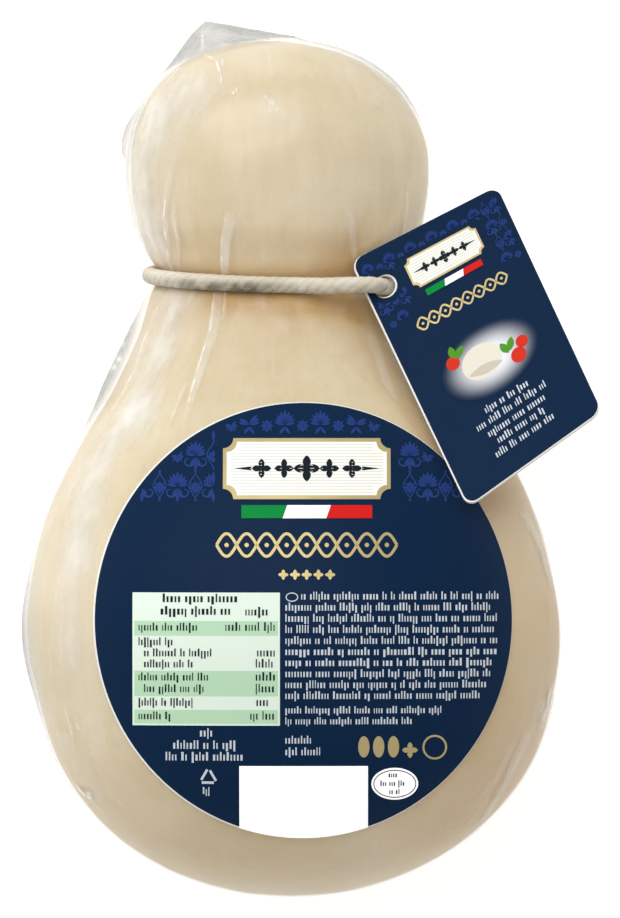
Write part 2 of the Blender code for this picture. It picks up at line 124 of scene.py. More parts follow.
# Folds in front, as (x, y) paths that run down: the sharp edge's height, the doubled strip at its right,
# and how much the strip's haze and the edge's painted glint, a white highlight, show.
Fold = namedtuple("Fold", "path height strip haze glint")
FOLDS = (
    # the head
    (((-19.5, 44.8), (-20.9, 39.4), (-21.4, 34.9), (-20.7, 29.2), (-19.8, 26.0)), 0.34, 1.0, 0.28, 0.80),
    (((-19.8, 37.7), (-20.0, 34.9), (-19.3, 31.4), (-19.0, 26.0)), 0.24, 0.7, 0.22, 0.55),
    (((-12.2, 35.8), (-12.9, 31.4), (-12.9, 25.2)), 0.32, 2.1, 0.50, 0.85),
    (((-10.2, 37.5), (-10.9, 34.4)), 0.12, 0.4, 0.10, 0.25),
    (((4.7, 38.6), (5.2, 34.9), (6.3, 26.0)), 0.16, 1.9, 0.32, 0.14),
    (((-26.4, 43.4), (-26.2, 39.1), (-24.9, 33.5), (-22.6, 27.0)), 0.24, 0.7, 0.25, 0.45),
    (((-25.6, 41.9), (-24.3, 35.4), (-22.0, 28.8)), 0.22, 0.6, 0.15, 0.35),
    (((-17.9, 41.9), (-17.9, 38.4)), 0.08, 0.2, 0.05, 0.25),
    (((-17.2, 41.2), (-17.1, 39.0)), 0.08, 0.2, 0.05, 0.20),
    # the ear and the crown
    (((-15.9, 62.6), (-15.8, 59.4)), 0.16, 0.3, 0.10, 0.70),
    (((-15.8, 59.1), (-13.8, 57.8), (-13.1, 55.6), (-12.9, 53.8)), 0.30, 0.4, 0.10, 0.85),
    (((-12.8, 58.6), (-12.9, 56.4)), 0.20, 0.3, 0.05, 0.45),
    (((-6.4, 60.3), (-5.9, 57.5), (-5.5, 53.3)), 0.18, 0.8, 0.14, 0.30),
    (((-0.2, 57.2), (1.3, 55.0)), 0.10, 0.4, 0.06, 0.12),
    (((3.5, 57.6), (7.1, 52.1)), 0.12, 0.6, 0.08, 0.14),
    (((-22.2, 52.4), (-24.0, 48.6)), 0.15, 0.3, 0.08, 0.30),
    (((-25.0, 47.3), (-26.6, 46.0)), 0.15, 0.3, 0.08, 0.35),
    # the left shoulder
    (((-13.8, 26.0), (-14.6, 18.7), (-16.2, 13.4), (-17.4, 9.2), (-18.3, 5.0)), 0.34, 1.7, 0.46, 0.85),
    (((-12.3, 25.4), (-12.9, 20.0)), 0.14, 0.3, 0.08, 0.45),
    (((-17.9, 11.1), (-19.2, 8.1), (-20.6, 4.1)), 0.22, 0.8, 0.14, 0.50),
    (((-22.7, 5.8), (-24.3, 2.8)), 0.16, 0.5, 0.08, 0.35),
    (
        ((-20.8, 25.6), (-23.0, 20.4), (-24.3, 16.9), (-25.5, 13.0), (-27.6, 8.8), (-30.1, 5.1)),
        0.30, 0.8, 0.16, 0.60,
    ),
    (((-19.2, 26.0), (-20.6, 21.8), (-21.5, 18.0), (-23.4, 13.4)), 0.22, 1.6, 0.20, 0.30),
    # the right shoulder
    (((7.5, 18.8), (10.3, 11.2), (12.6, 7.0)), 0.16, 2.0, 0.28, 0.12),
    (((-5.5, 19.6), (-5.4, 8.6)), 0.08, 0.4, 0.05, 0.14),
    # the body's left, bottom and right
    (((-32.8, -38.6), (-31.4, -39.8), (-30.2, -42.6)), 0.14, 0.5, 0.08, 0.25),
    (((-38.8, -40.6), (-36.2, -46.6), (-33.2, -49.6)), 0.18, 0.5, 0.20, 0.25),
    (((31.5, -33.5), (33.2, -36.0), (33.8, -38.4)), 0.16, 0.5, 0.10, 0.30),
    (((26.6, -47.0), (24.6, -50.6), (20.8, -54.6)), 0.14, 0.6, 0.08, 0.15),
    (((34.4, -18.6), (34.6, -26.0)), 0.12, 0.4, 0.06, 0.20),
    (((-35.8, -35.4), (-34.8, -38.6), (-34.0, -42.6)), 0.18, 0.6, 0.12, 0.40),
    (((-38.0, -36.0), (-37.0, -39.4), (-35.4, -43.6)), 0.16, 0.5, 0.12, 0.30),
    (((-34.6, -47.0), (-33.0, -48.6), (-31.2, -49.8)), 0.22, 0.5, 0.10, 0.85),
    (((-30.6, -46.0), (-28.4, -49.2), (-25.0, -52.4)), 0.16, 1.0, 0.12, 0.18),
    (((-34.6, -38.2), (-32.8, -39.3), (-30.8, -38.8)), 0.16, 0.3, 0.10, 0.55),
    (((-32.3, -41.0), (-31.2, -42.5), (-29.8, -42.0)), 0.12, 0.3, 0.08, 0.45),
    (((-31.8, -49.9), (-30.0, -51.6)), 0.12, 0.3, 0.08, 0.45),
    (((-37.4, -24.8), (-37.8, -28.4), (-37.2, -32.0)), 0.12, 0.4, 0.10, 0.30),
    (((-31.6, -14.6), (-32.4, -19.0), (-32.0, -23.6)), 0.10, 0.5, 0.08, 0.20),
    (((-28.6, 8.4), (-33.0, 0.6), (-36.2, -8.0), (-38.4, -18.0)), 0.14, 1.0, 0.12, 0.20),
    (((-24.4, 10.0), (-27.0, 5.0), (-29.6, 1.0)), 0.14, 0.7, 0.12, 0.22),
    (((29.6, -6.4), (33.3, -13.4), (35.0, -19.7)), 0.22, 1.3, 0.26, 0.40),
    (((32.0, -7.6), (34.6, -12.6), (36.4, -17.4)), 0.14, 0.6, 0.10, 0.22),
    (((34.8, -32.6), (34.2, -35.6), (33.0, -39.4)), 0.24, 1.0, 0.26, 0.60),
    (((35.8, -34.0), (35.0, -37.6), (34.0, -40.0)), 0.18, 0.6, 0.16, 0.45),
    (((31.4, -38.6), (30.4, -41.0), (28.2, -46.1), (25.6, -50.6), (23.2, -54.8)), 0.24, 1.6, 0.30, 0.35),
    (((29.6, -39.6), (27.2, -44.7), (24.2, -49.4)), 0.18, 1.2, 0.20, 0.22),
    (((16.2, -56.4), (9.0, -58.6), (0.6, -59.4)), 0.12, 0.9, 0.08, 0.10),
    (((-20.6, -54.6), (-14.0, -58.2), (-6.0, -59.8)), 0.12, 0.9, 0.08, 0.10),
    (((37.0, -22.0), (37.6, -28.0), (36.8, -34.0)), 0.14, 0.5, 0.10, 0.25),
    (((4.6, 59.2), (8.4, 57.4), (13.4, 53.0), (16.0, 48.6)), 0.06, 0.3, 0.16, 0.35),
    (((-13.6, 62.2), (-9.0, 61.4), (-3.2, 60.4)), 0.14, 0.5, 0.10, 0.30),
    (((-17.4, 59.6), (-20.6, 55.4), (-23.8, 50.8)), 0.16, 0.4, 0.14, 0.40),
    (((-14.6, 61.4), (-12.0, 60.0), (-10.4, 58.6)), 0.14, 0.4, 0.10, 0.35),
)
FOLD_LINE = 0.19  # half width of a fold's sharp edge

# Painted highlights: milky white haze laid along (x, y) paths in place of the soft lights' reflections, with
# half width and share.
PaintedHighlight = namedtuple("PaintedHighlight", "path reach share")
PAINTED_HIGHLIGHTS = (
    (((-17.5, 54.2), (-21.5, 50.3), (-24.3, 44.6), (-24.7, 38.7), (-23.2, 32.0)), 3.2, 0.60),
    (((-19.2, 25.0), (-22.0, 15.6), (-25.2, 8.0)), 2.4, 0.50),
    (((-24.2, 7.3), (-29.4, 1.2), (-32.4, -6.1), (-34.4, -13.0)), 2.6, 0.50),
    (((-33.6, -12.0), (-35.6, -18.6), (-35.8, -24.0), (-35.0, -29.0)), 1.9, 0.38),
    (((-31.4, -37.6), (-29.8, -41.8)), 1.6, 0.12),
    (((-35.4, -40.6), (-32.6, -45.6), (-30.4, -48.4)), 1.3, 0.20),
    (((-6.4, 51.8), (-4.8, 49.2)), 2.0, 0.24),
    (((33.5, -36.0), (33.6, -38.2)), 1.4, 0.20),
    (((5.4, -56.0), (8.2, -56.6)), 1.6, 0.12),
)

# Painted glints: small white highlights painted where creased film would catch the light, as (x, y), half
# width and share.
GLINTS = (
    (-11.3, 53.1, 0.28, 0.8), (-10.8, 53.6, 0.22, 0.8), (-6.6, 52.4, 0.45, 0.5), (-5.7, 51.6, 0.6, 0.55),
    (-6.0, 50.5, 0.35, 0.45), (-4.9, 50.6, 0.5, 0.5), (-4.3, 49.4, 0.4, 0.4), (-5.2, 49.2, 0.28, 0.25),
    (-3.9, 46.9, 0.22, 0.35), (-28.0, 14.4, 0.45, 0.9), (-28.7, 13.2, 0.4, 0.9), (-27.4, 16.6, 0.35, 0.6),
    (-39.2, -26.3, 0.28, 0.5), (-34.7, -39.2, 0.34, 0.7), (-36.4, -39.1, 0.22, 0.5),
    (-32.2, -48.8, 0.5, 0.7), (33.2, -36.8, 0.4, 0.5),
)

# Where the film is crinkled: (x, y), reach and height.
CRINKLES = (
    (-31.5, -40.5, 5.0, 0.16), (-37.5, -30.0, 4.0, 0.08), (-24.0, 12.0, 5.0, 0.07),
    (34.0, -36.6, 3.4, 0.20), (28.0, -45.5, 4.0, 0.08), (22.5, -52.5, 5.0, 0.09),
    (-6.0, 51.5, 3.5, 0.05), (10.0, 55.0, 5.0, 0.10), (-24.0, 47.0, 4.0, 0.12),
)

FILM_LOOKS = ("haze", "glint", "loose", "halo")  # attributes of the film's points; glint is a painted white highlight, and loose and halo call up a painted grey shade

# Rings and sides of the fine surfaces.
END_RINGS = 80
SHOULDER_RINGS = 116
NECK_RINGS = 34  # on each side of the cord
NAPE_RINGS = 16
CROWN_RINGS = 90
NECK_FROM = 17.0
NECK_TO = 36.0
SIDE_STRETCHES = ((0, 95, 88), (95, 195, 170), (195, 360, 82))  # (from, to, sides), in degrees
CHEESE_SHARE = 0.6  # of the film's rings and sides

# The round label.
LABEL_CENTRE = (-1.22, -23.35)
LABEL_HALF_WIDTH = 30.0
LABEL_HALF_HEIGHT = 31.25
LABEL_LIFT = 0.1
LABEL_THICKNESS = 0.25
LABEL_RIM = 0.16  # of bare white edge round the print
LABEL_PRINT_OFFSET = 0.12  # to the right
ART_HALF_WIDTH = 30.5  # of the label as its artwork is laid out, a little larger than it is made
ART_HALF_HEIGHT = 31.8

# The hang tag.
TAG_WIDTH = 24.8
TAG_LENGTH = 43.5
TAG_THICKNESS = 0.5
TAG_CORNER_RADIUS = 1.8
TAG_TOP_LEFT = (5.7, 28.5, 36.7)
TAG_TOP_RIGHT = (27.1, 39.5, 30.1)
TAG_BOTTOM_LEFT = (22.6, -7.2, 55.5)
TAG_BOTTOM_RIGHT = (42.0, 6.65, 52.7)
TAG_SAG = 0.8
TAG_HOLE_ACROSS = 3.0
TAG_HOLE_ALONG = 6.1
TAG_HOLE_RADIUS = 1.75

# The cord's route where it leaves the neck.
CORD_LEAVES = radians(84)
CORD_RETURNS = radians(378)
CORD_OVER_TAG = (
    (1.5, 25.0, 39.7), (5.0, 25.1, 40.5), (8.1, 25.15, 40.7),
    (9.9, 25.05, 39.5), (10.4, 24.95, 36.9), (11.9, 25.0, 32.6),
)
CORD_STANDS_OFF_BEHIND = 0.15

INK_THICKNESS = 0.03
INK_STEP = INK_THICKNESS - 0.005  # from one level of print to the next, so that no gap shows
INK_SINK = 0.01
PRINT_STEP = 1.5  # a print's mesh is no coarser, so that it follows the curve below it
RULE_PITCH = 0.42
RULE_WIDTH = 0.09
SQUARE_STEP = 0.05  # the distance over which slopes are measured


# ---- Curves and sections ----


def smooth_through(stations, y):
    """The values at y of a smooth curve through (y, value) stations, level at both ends."""
    places, values = np.array(stations, float).T
    slopes = np.zeros_like(values)
    slopes[1:-1] = (values[2:] - values[:-2]) / (places[2:] - places[:-2])
    y = np.clip(y, places[0], places[-1])
    i = np.clip(np.searchsorted(places, y, side="right") - 1, 0, len(places) - 2)
    step = places[i + 1] - places[i]
    t = (y - places[i]) / step
    rising = 3 * t**2 - 2 * t**3
    leaving = (t**3 - 2 * t**2 + t) * step * slopes[i]
    arriving = (t**3 - t**2) * step * slopes[i + 1]
    return values[i] + (values[i + 1] - values[i]) * rising + leaving + arriving


def rounded_end(share, power):
    return np.maximum(0.0, 1 - np.clip(share, 0, 1) ** power) ** (1 / power)


def half_width(y, head_power=HEAD_END_POWER):
    straighter = 1 - BODY_STRAIGHT_SHARE * bell(y - BODY_STRAIGHT_Y, BODY_STRAIGHT_REACH)
    body = BODY_HALF_WIDTH * rounded_end((BODY_Y - y) / BODY_END, BODY_END_POWER)
    head = HEAD_HALF_WIDTH * rounded_end((y - HEAD_Y) / HEAD_END, head_power)
    return np.where(y > HEAD_Y, head, straighter * np.where(y < BODY_Y, body, smooth_through(FLANK, y)))


def from_body_to_head(y, body_value, head_value):
    return smooth_through(((BODY_Y, body_value), (HEAD_Y, head_value)), y)


def depth_share(y):
    return from_body_to_head(y, BODY_DEPTH_SHARE, HEAD_DEPTH_SHARE)


def centre_z(y):
    body = BODY_HALF_WIDTH * BODY_DEPTH_SHARE - BODY_PRESSED
    head = HEAD_HALF_WIDTH * HEAD_DEPTH_SHARE - HEAD_PRESSED
    return from_body_to_head(y, body, head)


def cord_y(angle):
    return CORD_Y + CORD_Y_ACROSS * np.cos(angle) + CORD_Y_DEEP * np.sin(angle)


def bell(distance, reach):
    return np.exp(-((distance / reach) ** 2))


def ramp(value, start, end):
    """0 before start, 1 after end, and a smooth step between them."""
    t = np.clip((value - start) / (end - start), 0, 1)
    return t * t * (3 - 2 * t)


def squarer(value):
    return np.sign(value) * np.abs(value) ** (2 / SECTION_POWER)


def swell(y, angle):
    """How much wider than its plain section the pear is: the cord's groove and the gathers beside it."""
    from_cord = y - cord_y(angle)
    groove = GROOVE_SHARE * bell(from_cord, GROOVE_REACH)
    beside_it = bell(from_cord, GATHER_REACH) - bell(from_cord, 2 * GROOVE_REACH)
    waves = sum(share * np.cos(lobes * angle + phase) for lobes, phase, share in GATHER_WAVES)
    return 1 - groove + GATHER_SHARE * waves * beside_it


def surface(y, angle, out=0.0):
    """Points of the pear. Angle 0 is at the right, a quarter turn is at the front."""
    waist_y = y - (cord_y(angle) - NECK_Y) * bell(y - NECK_Y, WAIST_REACH)
    wide = half_width(waist_y, HEAD_END_POWER - HEAD_END_LEAN * np.cos(angle)) * swell(y, angle)
    x = smooth_through(CENTRE_LINE, y) + (wide + out) * squarer(np.cos(angle))
    z = centre_z(y) + (wide * depth_share(waist_y) + out) * squarer(np.sin(angle))
    return joined(x, y, z)


def front_height(x, y):
    share = np.abs(x - smooth_through(CENTRE_LINE, y)) / half_width(y)
    return centre_z(y) + half_width(y) * depth_share(y) * rounded_end(share, SECTION_POWER)


def front(x, y, out):
    """Points of the body's front above (x, y), moved out square to it."""
    step = SQUARE_STEP
    slope_x = (front_height(x + step, y) - front_height(x - step, y)) / (2 * step)
    slope_y = (front_height(x, y + step) - front_height(x, y - step)) / (2 * step)
    return joined(x, y, front_height(x, y)) + unit(joined(-slope_x, -slope_y, 1.0)) * out


def unit(vectors):
    return vectors / np.maximum(np.linalg.norm(vectors, axis=-1, keepdims=True), 1e-9)


def joined(*parts):
    """Points from their coordinates, each an array or one number."""
    return np.stack(np.broadcast_arrays(*parts), axis=-1)


def noise_at(points, size, stretch=(1, 1, 1)):
    """Smooth noise between -1 and 1 with features of about this size, longer where stretch is over 1."""
    places = np.asarray(points) / (size * np.array(stretch))
    return np.array([noise.noise(Vector(p)) for p in places.reshape(-1, 3)]).reshape(places.shape[:-1])


# ---- Materials ----


def srgb(red, green, blue):
    """A colour on the 0 to 255 scale as Blender's linear one."""
    shares = [c / 255 for c in (red, green, blue)]
    return tuple(s / 12.92 if s <= 0.04045 else ((s + 0.055) / 1.055) ** 2.4 for s in shares)


class Material:
    """A node material with one Principled shader, and short calls for the nodes that feed it."""

    def __init__(self, name, roughness, **settings):
        self.material = bpy.data.materials.new(name)
        self.material.use_nodes = True
        self.tree = self.material.node_tree
        self.shader = self.tree.nodes["Principled BSDF"]
        self.output = self.tree.nodes["Material Output"]
        self.shader.inputs["Roughness"].default_value = roughness
        for key, value in settings.items():
            self.shader.inputs[key.replace("_", " ")].default_value = value
        self.place = self.node("TexCoord").outputs["Object"]

    def node(self, kind, **inputs):
        made = self.tree.nodes.new("ShaderNode" + kind)
        for key, value in inputs.items():
            self.feed(value, made.inputs[key.replace("_", " ")])
        return made

    def feed(self, value, socket):
        if isinstance(value, bpy.types.NodeSocket):
            self.tree.links.new(value, socket)
        else:
            socket.default_value = value

    def noise(self, size, detail=2.0, roughness=0.5, stretch=(1, 1, 1), distortion=0.0):
        """Noise with features of about this size in millimetres, longer along axes with a stretch over 1."""
        mapped = self.node("Mapping", Vector=self.place, Scale=[1 / s for s in stretch])
        made = self.node("TexNoise", Vector=mapped.outputs[0], Scale=1 / (size * MM), Detail=detail)
        made.inputs["Roughness"].default_value = roughness
        made.inputs["Distortion"].default_value = distortion
        return made.outputs["Fac"]

    def between(self, value, low, high, to_low=0.0, to_high=1.0):
        ranged = self.node("MapRange", Value=value)
        for key, number in (("From Min", low), ("From Max", high), ("To Min", to_low), ("To Max", to_high)):
            ranged.inputs[key].default_value = number
        return ranged.outputs[0]

    def maths(self, operation, first, second):
        made = self.node("Math")
        made.operation = operation
        self.feed(first, made.inputs[0])
        self.feed(second, made.inputs[1])
        return made.outputs[0]

    def mix(self, share, first, second):
        made = self.node("Mix")
        made.data_type = "RGBA"
        for socket, value in zip((made.inputs[0], made.inputs[6], made.inputs[7]), (share, first, second)):
            self.feed((*value, 1) if isinstance(value, tuple) else value, socket)
        return made.outputs[2]

    def colour(self, value):
        self.feed((*value, 1) if isinstance(value, tuple) else value, self.shader.inputs["Base Color"])

    def normal(self, value):
        self.feed(value, self.shader.inputs["Normal"])

    def attribute(self, name):
        made = self.node("Attribute")
        made.attribute_name = name
        return made.outputs["Fac"]

    def bump(self, height, distance, normal=None):
        """A bump of this height in millimetres, on top of another one if given."""
        made = self.node("Bump", Height=height, Distance=distance * MM)
        if normal is not None:
            self.feed(normal, made.inputs["Normal"])
        return made.outputs[0]


def cheese_material():
    """Moist ivory stretched curd: soft light inside it, faint streaks along the pull, and painted shade, a
    darker golden colour, at the tie, beside the tag, at the right and at the bottom.
    """
    m = Material("ivory_cheese", 0.48, Subsurface_Weight=0.35, Subsurface_Scale=0.004, Specular_IOR_Level=0.3)
    m.shader.inputs["Subsurface Radius"].default_value = (1.0, 0.62, 0.32)
    patches = m.between(m.noise(14, detail=3), 0.35, 0.65)
    streaks = m.between(m.noise(1.4, detail=4, stretch=(1, 9, 1)), 0.3, 0.7)
    pores = m.between(m.noise(0.5), 0.3, 0.7)
    base = m.mix(patches, srgb(228, 214, 183), srgb(215, 197, 159))
    base = m.mix(m.maths("MULTIPLY", streaks, 0.4), base, srgb(229, 217, 190))
    base = m.mix(m.maths("MULTIPLY", pores, 0.12), base, srgb(200, 178, 138))
    # painted shade: a darker golden colour mixed in where the cheese's shade attribute is high
    m.colour(m.mix(m.maths("MULTIPLY", m.attribute("golden_shade"), 0.9), base, srgb(188, 148, 86)))
    relief = m.bump(m.noise(1.1, detail=3, stretch=(1, 5, 1)), 0.05)
    m.normal(m.bump(m.noise(6), 0.25, relief))
    return m.material


def film_material():
    """Clear film: see-through with a soft gloss, hazy where it is doubled, with painted highlights along its
    milky paths, thicker where light crosses it aslant, painted grey shade where it hangs free or stands off,
    and painted white glints on its folds' edges."""
    m = Material("clear_film", 0.30, Specular_IOR_Level=0.1)
    haze, glint, loose, halo = (m.attribute(name) for name in FILM_LOOKS)
    cloud = m.between(m.noise(4.5), 0.3, 0.7)
    # the white of the haze, which also carries the painted highlights along the milky paths
    on_cheese = m.mix(cloud, srgb(238, 234, 222), srgb(247, 243, 233))
    # painted grey shade for film that hangs free or stands off
    hanging = m.mix(cloud, srgb(130, 133, 134), srgb(172, 172, 168))
    aslant = m.node("LayerWeight", Blend=0.5).outputs["Facing"]
    grazing = m.maths("POWER", aslant, 4.0)
    apart = m.maths("MAXIMUM", loose, halo)
    free = m.maths("MULTIPLY", loose, m.between(aslant, 0.10, 0.50))
    # painted white glints, over the white haze and the painted grey shade of loose film
    m.colour(m.mix(glint, m.mix(apart, on_cheese, hanging), srgb(255, 255, 252)))
    ripple = m.bump(m.noise(2.6, detail=3, stretch=(1, 2.5, 1), distortion=0.6), 0.06)
    ripple = m.bump(m.noise(0.7), 0.012, ripple)
    m.normal(ripple)
    mirrored = m.maths("ADD", m.maths("MULTIPLY", grazing, m.between(apart, 0, 1, 0.12, 0.23)), 0.05)
    clear = m.node("BsdfTransparent", Color=(0.985, 0.985, 0.98, 1))
    gloss = m.node("BsdfAnisotropic", Roughness=0.24, Normal=ripple)
    glossy_film = m.node("MixShader", Fac=mirrored)
    m.feed(clear.outputs[0], glossy_film.inputs[1])
    m.feed(gloss.outputs[0], glossy_film.inputs[2])
    thick = m.maths("MULTIPLY", haze, m.between(cloud, 0, 1, 0.85, 1.1))
    rim = m.maths("MAXIMUM", m.between(loose, 0, 1, 0.12, 0.5), m.between(halo, 0, 1, 0.12, 1.0))
    thick = m.maths("ADD", thick, m.maths("MULTIPLY", grazing, rim))
    thick = m.maths("ADD", thick, m.maths("MULTIPLY", free, 0.30))
    hazed = m.node("MixShader", Fac=m.maths("MINIMUM", m.maths("MAXIMUM", thick, glint), 1.0))
    m.feed(glossy_film.outputs[0], hazed.inputs[1])
    m.feed(m.shader.outputs[0], hazed.inputs[2])
    m.feed(hazed.outputs[0], m.output.inputs["Surface"])
    return m.material


def print_material(name, colour, roughness=0.42, metallic=0.0, unevenness=0.06, painted_glow=0.0):
    """Printed and laminated: an even ink with a faint grain, under a skin that isn't quite flat, and for some
    whites a painted glow, a white emission that makes them brighter than the lamps alone do.
    """
    m = Material(name, roughness, Metallic=metallic, Specular_IOR_Level=0.05, Emission_Strength=painted_glow)
    # the painted glow is white
    m.shader.inputs["Emission Color"].default_value = (1, 1, 1, 1)
    darker = tuple(c * (1 - unevenness) for c in colour)
    m.colour(m.mix(m.noise(0.9, detail=5, roughness=0.7), darker, colour))
    uneven = m.between(m.noise(3, detail=3), 0.3, 0.7, roughness - 0.05, roughness + 0.05)
    m.feed(uneven, m.shader.inputs["Roughness"])
    skin = m.bump(m.noise(0.6), 0.004)
    m.normal(m.bump(m.noise(7), 0.06, skin))
    return m.material


def board_material():
    """White card as its cut edge shows it, with short fibres."""
    m = Material("card_core", 0.85)
    fibres = m.noise(0.35, detail=5, roughness=0.7, stretch=(3, 1, 0.5))
    m.colour(m.mix(fibres, srgb(222, 219, 210), srgb(250, 249, 245)))
    m.normal(m.bump(fibres, 0.03))
    return m.material


def cotton_material():
    """Undyed cotton, with painted shade that makes it darker in its grooves and greyish where it is shaded,
    and a soft sheen.
    """
    m = Material("natural_cotton", 0.9, Sheen_Weight=0.08, Sheen_Roughness=0.5)
    fibres = m.noise(0.25, detail=4, roughness=0.65)
    slubs = m.between(m.noise(4, detail=3), 0.35, 0.65)
    lit = m.mix(slubs, srgb(237, 230, 216), srgb(221, 211, 191))
    lit = m.mix(m.between(fibres, 0.3, 0.7, 0.0, 0.6), lit, srgb(212, 201, 181))
    groove, shade = m.attribute("groove"), m.attribute("shade")
    # painted shade in the grooves
    grooved = m.mix(m.maths("MULTIPLY", groove, 0.42), lit, srgb(160, 146, 118))
    shaded = m.mix(groove, srgb(128, 124, 104), srgb(44, 41, 30))
    m.colour(m.mix(shade, grooved, shaded))
    m.normal(m.bump(fibres, 0.05))
    return m.material


def glow_material(ground):
    """The tag's pale glow, which fades into the ground colour at its rim."""
    m = Material("glow_ink", 0.42, Specular_IOR_Level=0.05)
    m.colour(m.mix(m.attribute("glow"), ground, srgb(236, 238, 242)))
    m.normal(m.bump(m.noise(0.6), 0.004))
    return m.material


# ---- Meshes ----


def add_mesh(name, points, faces, material, sharp_over=None, attributes=None):
    """A smooth-shaded mesh object from points in millimetres, with values for each point as attributes."""
    mesh = bpy.data.meshes.new(name)
    mesh.from_pydata((np.asarray(points) * MM).tolist(), [], faces)
    mesh.shade_smooth()
    if sharp_over is not None:
        mesh.set_sharp_from_angle(angle=sharp_over)
    for key, values in (attributes or {}).items():
        attribute = mesh.attributes.new(key, "FLOAT", "POINT")
        attribute.data.foreach_set("value", np.asarray(values, np.float32).ravel())
    mesh.materials.append(material)
    obj = bpy.data.objects.new(name, mesh)
    bpy.context.scene.collection.objects.link(obj)
    return obj


def stand_for(obj, node):
    """The piece rides on the part, in the place of this CAD node, which it hides."""
    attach(obj, "root")
    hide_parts(node)


def spaced(start, end, count):
    return start + (end - start) * np.arange(count) / count


def body_rings(share=1.0):
    """The level of each ring from the bottom up to the cord, without the bottom's own point."""
    turn = pi / 2 * (1 - spaced(0, 1, int(END_RINGS * share))[1:])
    end = BODY_Y - BODY_END * np.sin(turn) ** (2 / BODY_END_POWER)
    shoulder = spaced(BODY_Y, NECK_FROM, int(SHOULDER_RINGS * share))
    return np.concatenate([end, shoulder, np.linspace(NECK_FROM, CORD_Y, int(NECK_RINGS * share))])


def head_rings(share=1.0):
    """The level of each ring from the cord up to the crown, without the crown's own point."""
    neck = spaced(CORD_Y, NECK_TO, int(NECK_RINGS * share))
    nape = spaced(NECK_TO, HEAD_Y, int(NAPE_RINGS * share))
    turn = pi / 2 * spaced(0, 1, int(CROWN_RINGS * share))
    return np.concatenate([neck, nape, HEAD_Y + HEAD_END * np.sin(turn) ** (2 / HEAD_END_POWER)])


def grid_of(levels, share=1.0):
    """(y, angle) of each point on rings at these levels, bent so that the neck's rings follow the cord."""
    angles = np.concatenate([spaced(a, b, int(count * share)) for a, b, count in SIDE_STRETCHES])
    level, angle = np.meshgrid(levels, np.radians(angles), indexing="ij")
    return level + (cord_y(angle) - CORD_Y) * bell(level - CORD_Y, WAIST_REACH), angle


def pole(end_y):
    return np.array([smooth_through(CENTRE_LINE, end_y), end_y, centre_z(end_y)], float)


def ring_faces(rings, sides, bottom=None, crown=None):
    """Quads between rings of points, and a fan to the point with the number bottom or crown, if given."""
    ring, side = np.meshgrid(np.arange(rings - 1), np.arange(sides), indexing="ij")
    after = (side + 1) % sides
    low, high = ring * sides, (ring + 1) * sides
    faces = np.stack([low + side, high + side, high + after, low + after], axis=-1).reshape(-1, 4).tolist()
    last = (rings - 1) * sides
    for k in range(sides):
        turn = (k + 1) % sides
        if bottom is not None:
            faces.append([bottom, k, turn])
        if crown is not None:
            faces.append([crown, last + turn, last + k])
    return faces


def outward(grid):
    """Unit normals of rings of points that run up and turn from the right over the front."""
    along = np.gradient(grid, axis=0)
    around = np.roll(grid, -1, axis=1) - np.roll(grid, 1, axis=1)
    return unit(np.cross(along, around))


# ---- The cheese and its film ----


def turned(angle, centre):
    """How far angle is past centre, the short way round."""
    return (angle - centre + pi) % (2 * pi) - pi


def stand_off(y, angle):
    """How far the film hangs off the cheese: at the crown's right, the head's left and the left flank."""
    crown = 0.45 * ramp(y, 44, 54) * bell(turned(angle, radians(5)), radians(60))
    left = 0.5 * bell(turned(angle, pi), radians(32)) * ramp(y, 30, 36) * (1 - ramp(y, 50, 57))
    flank = 0.6 * bell(turned(angle, radians(174)), radians(24)) * bell(y + 27, 15)
    return crown + left + flank


def painted_golden_shade(points, y, angle):
    """How much painted shade, a darker golden colour, the cheese gets: at the tie, under the cord, beside the
    tag where its shadow falls, at the right and towards the bottom.
    """
    x = points[..., 0]
    below_cord = cord_y(angle) - y
    shade_at_tie = np.exp(-np.abs(below_cord) / 5.5) * (0.8 + 0.25 * noise_at(points, 6))
    shadow_under_cord = 0.75 * bell(below_cord - 2.4, 2.2) * ramp(x, -18, -12)
    tag_edge = (TAG_TOP_LEFT[:2], TAG_BOTTOM_LEFT[:2], TAG_BOTTOM_RIGHT[:2])
    from_tag, _ = beside_path(x, points[..., 1], tag_edge)
    tag_shadow = 0.6 * bell(from_tag, 4.5) * (points[..., 2] > centre_z(y))
    shade_at_right = 0.5 * ramp(x, 8, 30) + 0.4 * ramp(x, 32, 37)
    return np.minimum(shade_at_tie + shadow_under_cord + tag_shadow + shade_at_right + 0.36 * ramp(-y, 28, 60), 1)


def cheese():
    levels = np.concatenate([body_rings(CHEESE_SHARE)[:-1], head_rings(CHEESE_SHARE)])
    y, angle = grid_of(levels, CHEESE_SHARE)
    points = surface(y, angle)
    softness = 0.10 * noise_at(points, 11) + 0.05 * noise_at(points, 3.5, (1, 3, 1))
    inward = softness - stand_off(y, angle) - FILM_GAP - 0.05
    points = points + outward(points) * inward[..., None]
    points[..., 2] = np.maximum(points[..., 2], FILM_GAP)
    rings, sides = y.shape
    bottom, crown = pole(BODY_Y - BODY_END + FILM_GAP), pole(HEAD_Y + HEAD_END - FILM_GAP)
    faces = ring_faces(rings, sides, rings * sides, rings * sides + 1)
    everything = np.concatenate([points.reshape(-1, 3), [bottom, crown]])
    # painted shade for each point, kept as an attribute
    values = {"golden_shade": np.append(painted_golden_shade(points, y, angle), [0, 0])}
    obj = add_mesh("cheese", everything, faces, cheese_material(), attributes=values)
    stand_for(obj, "wrapped_cheese")


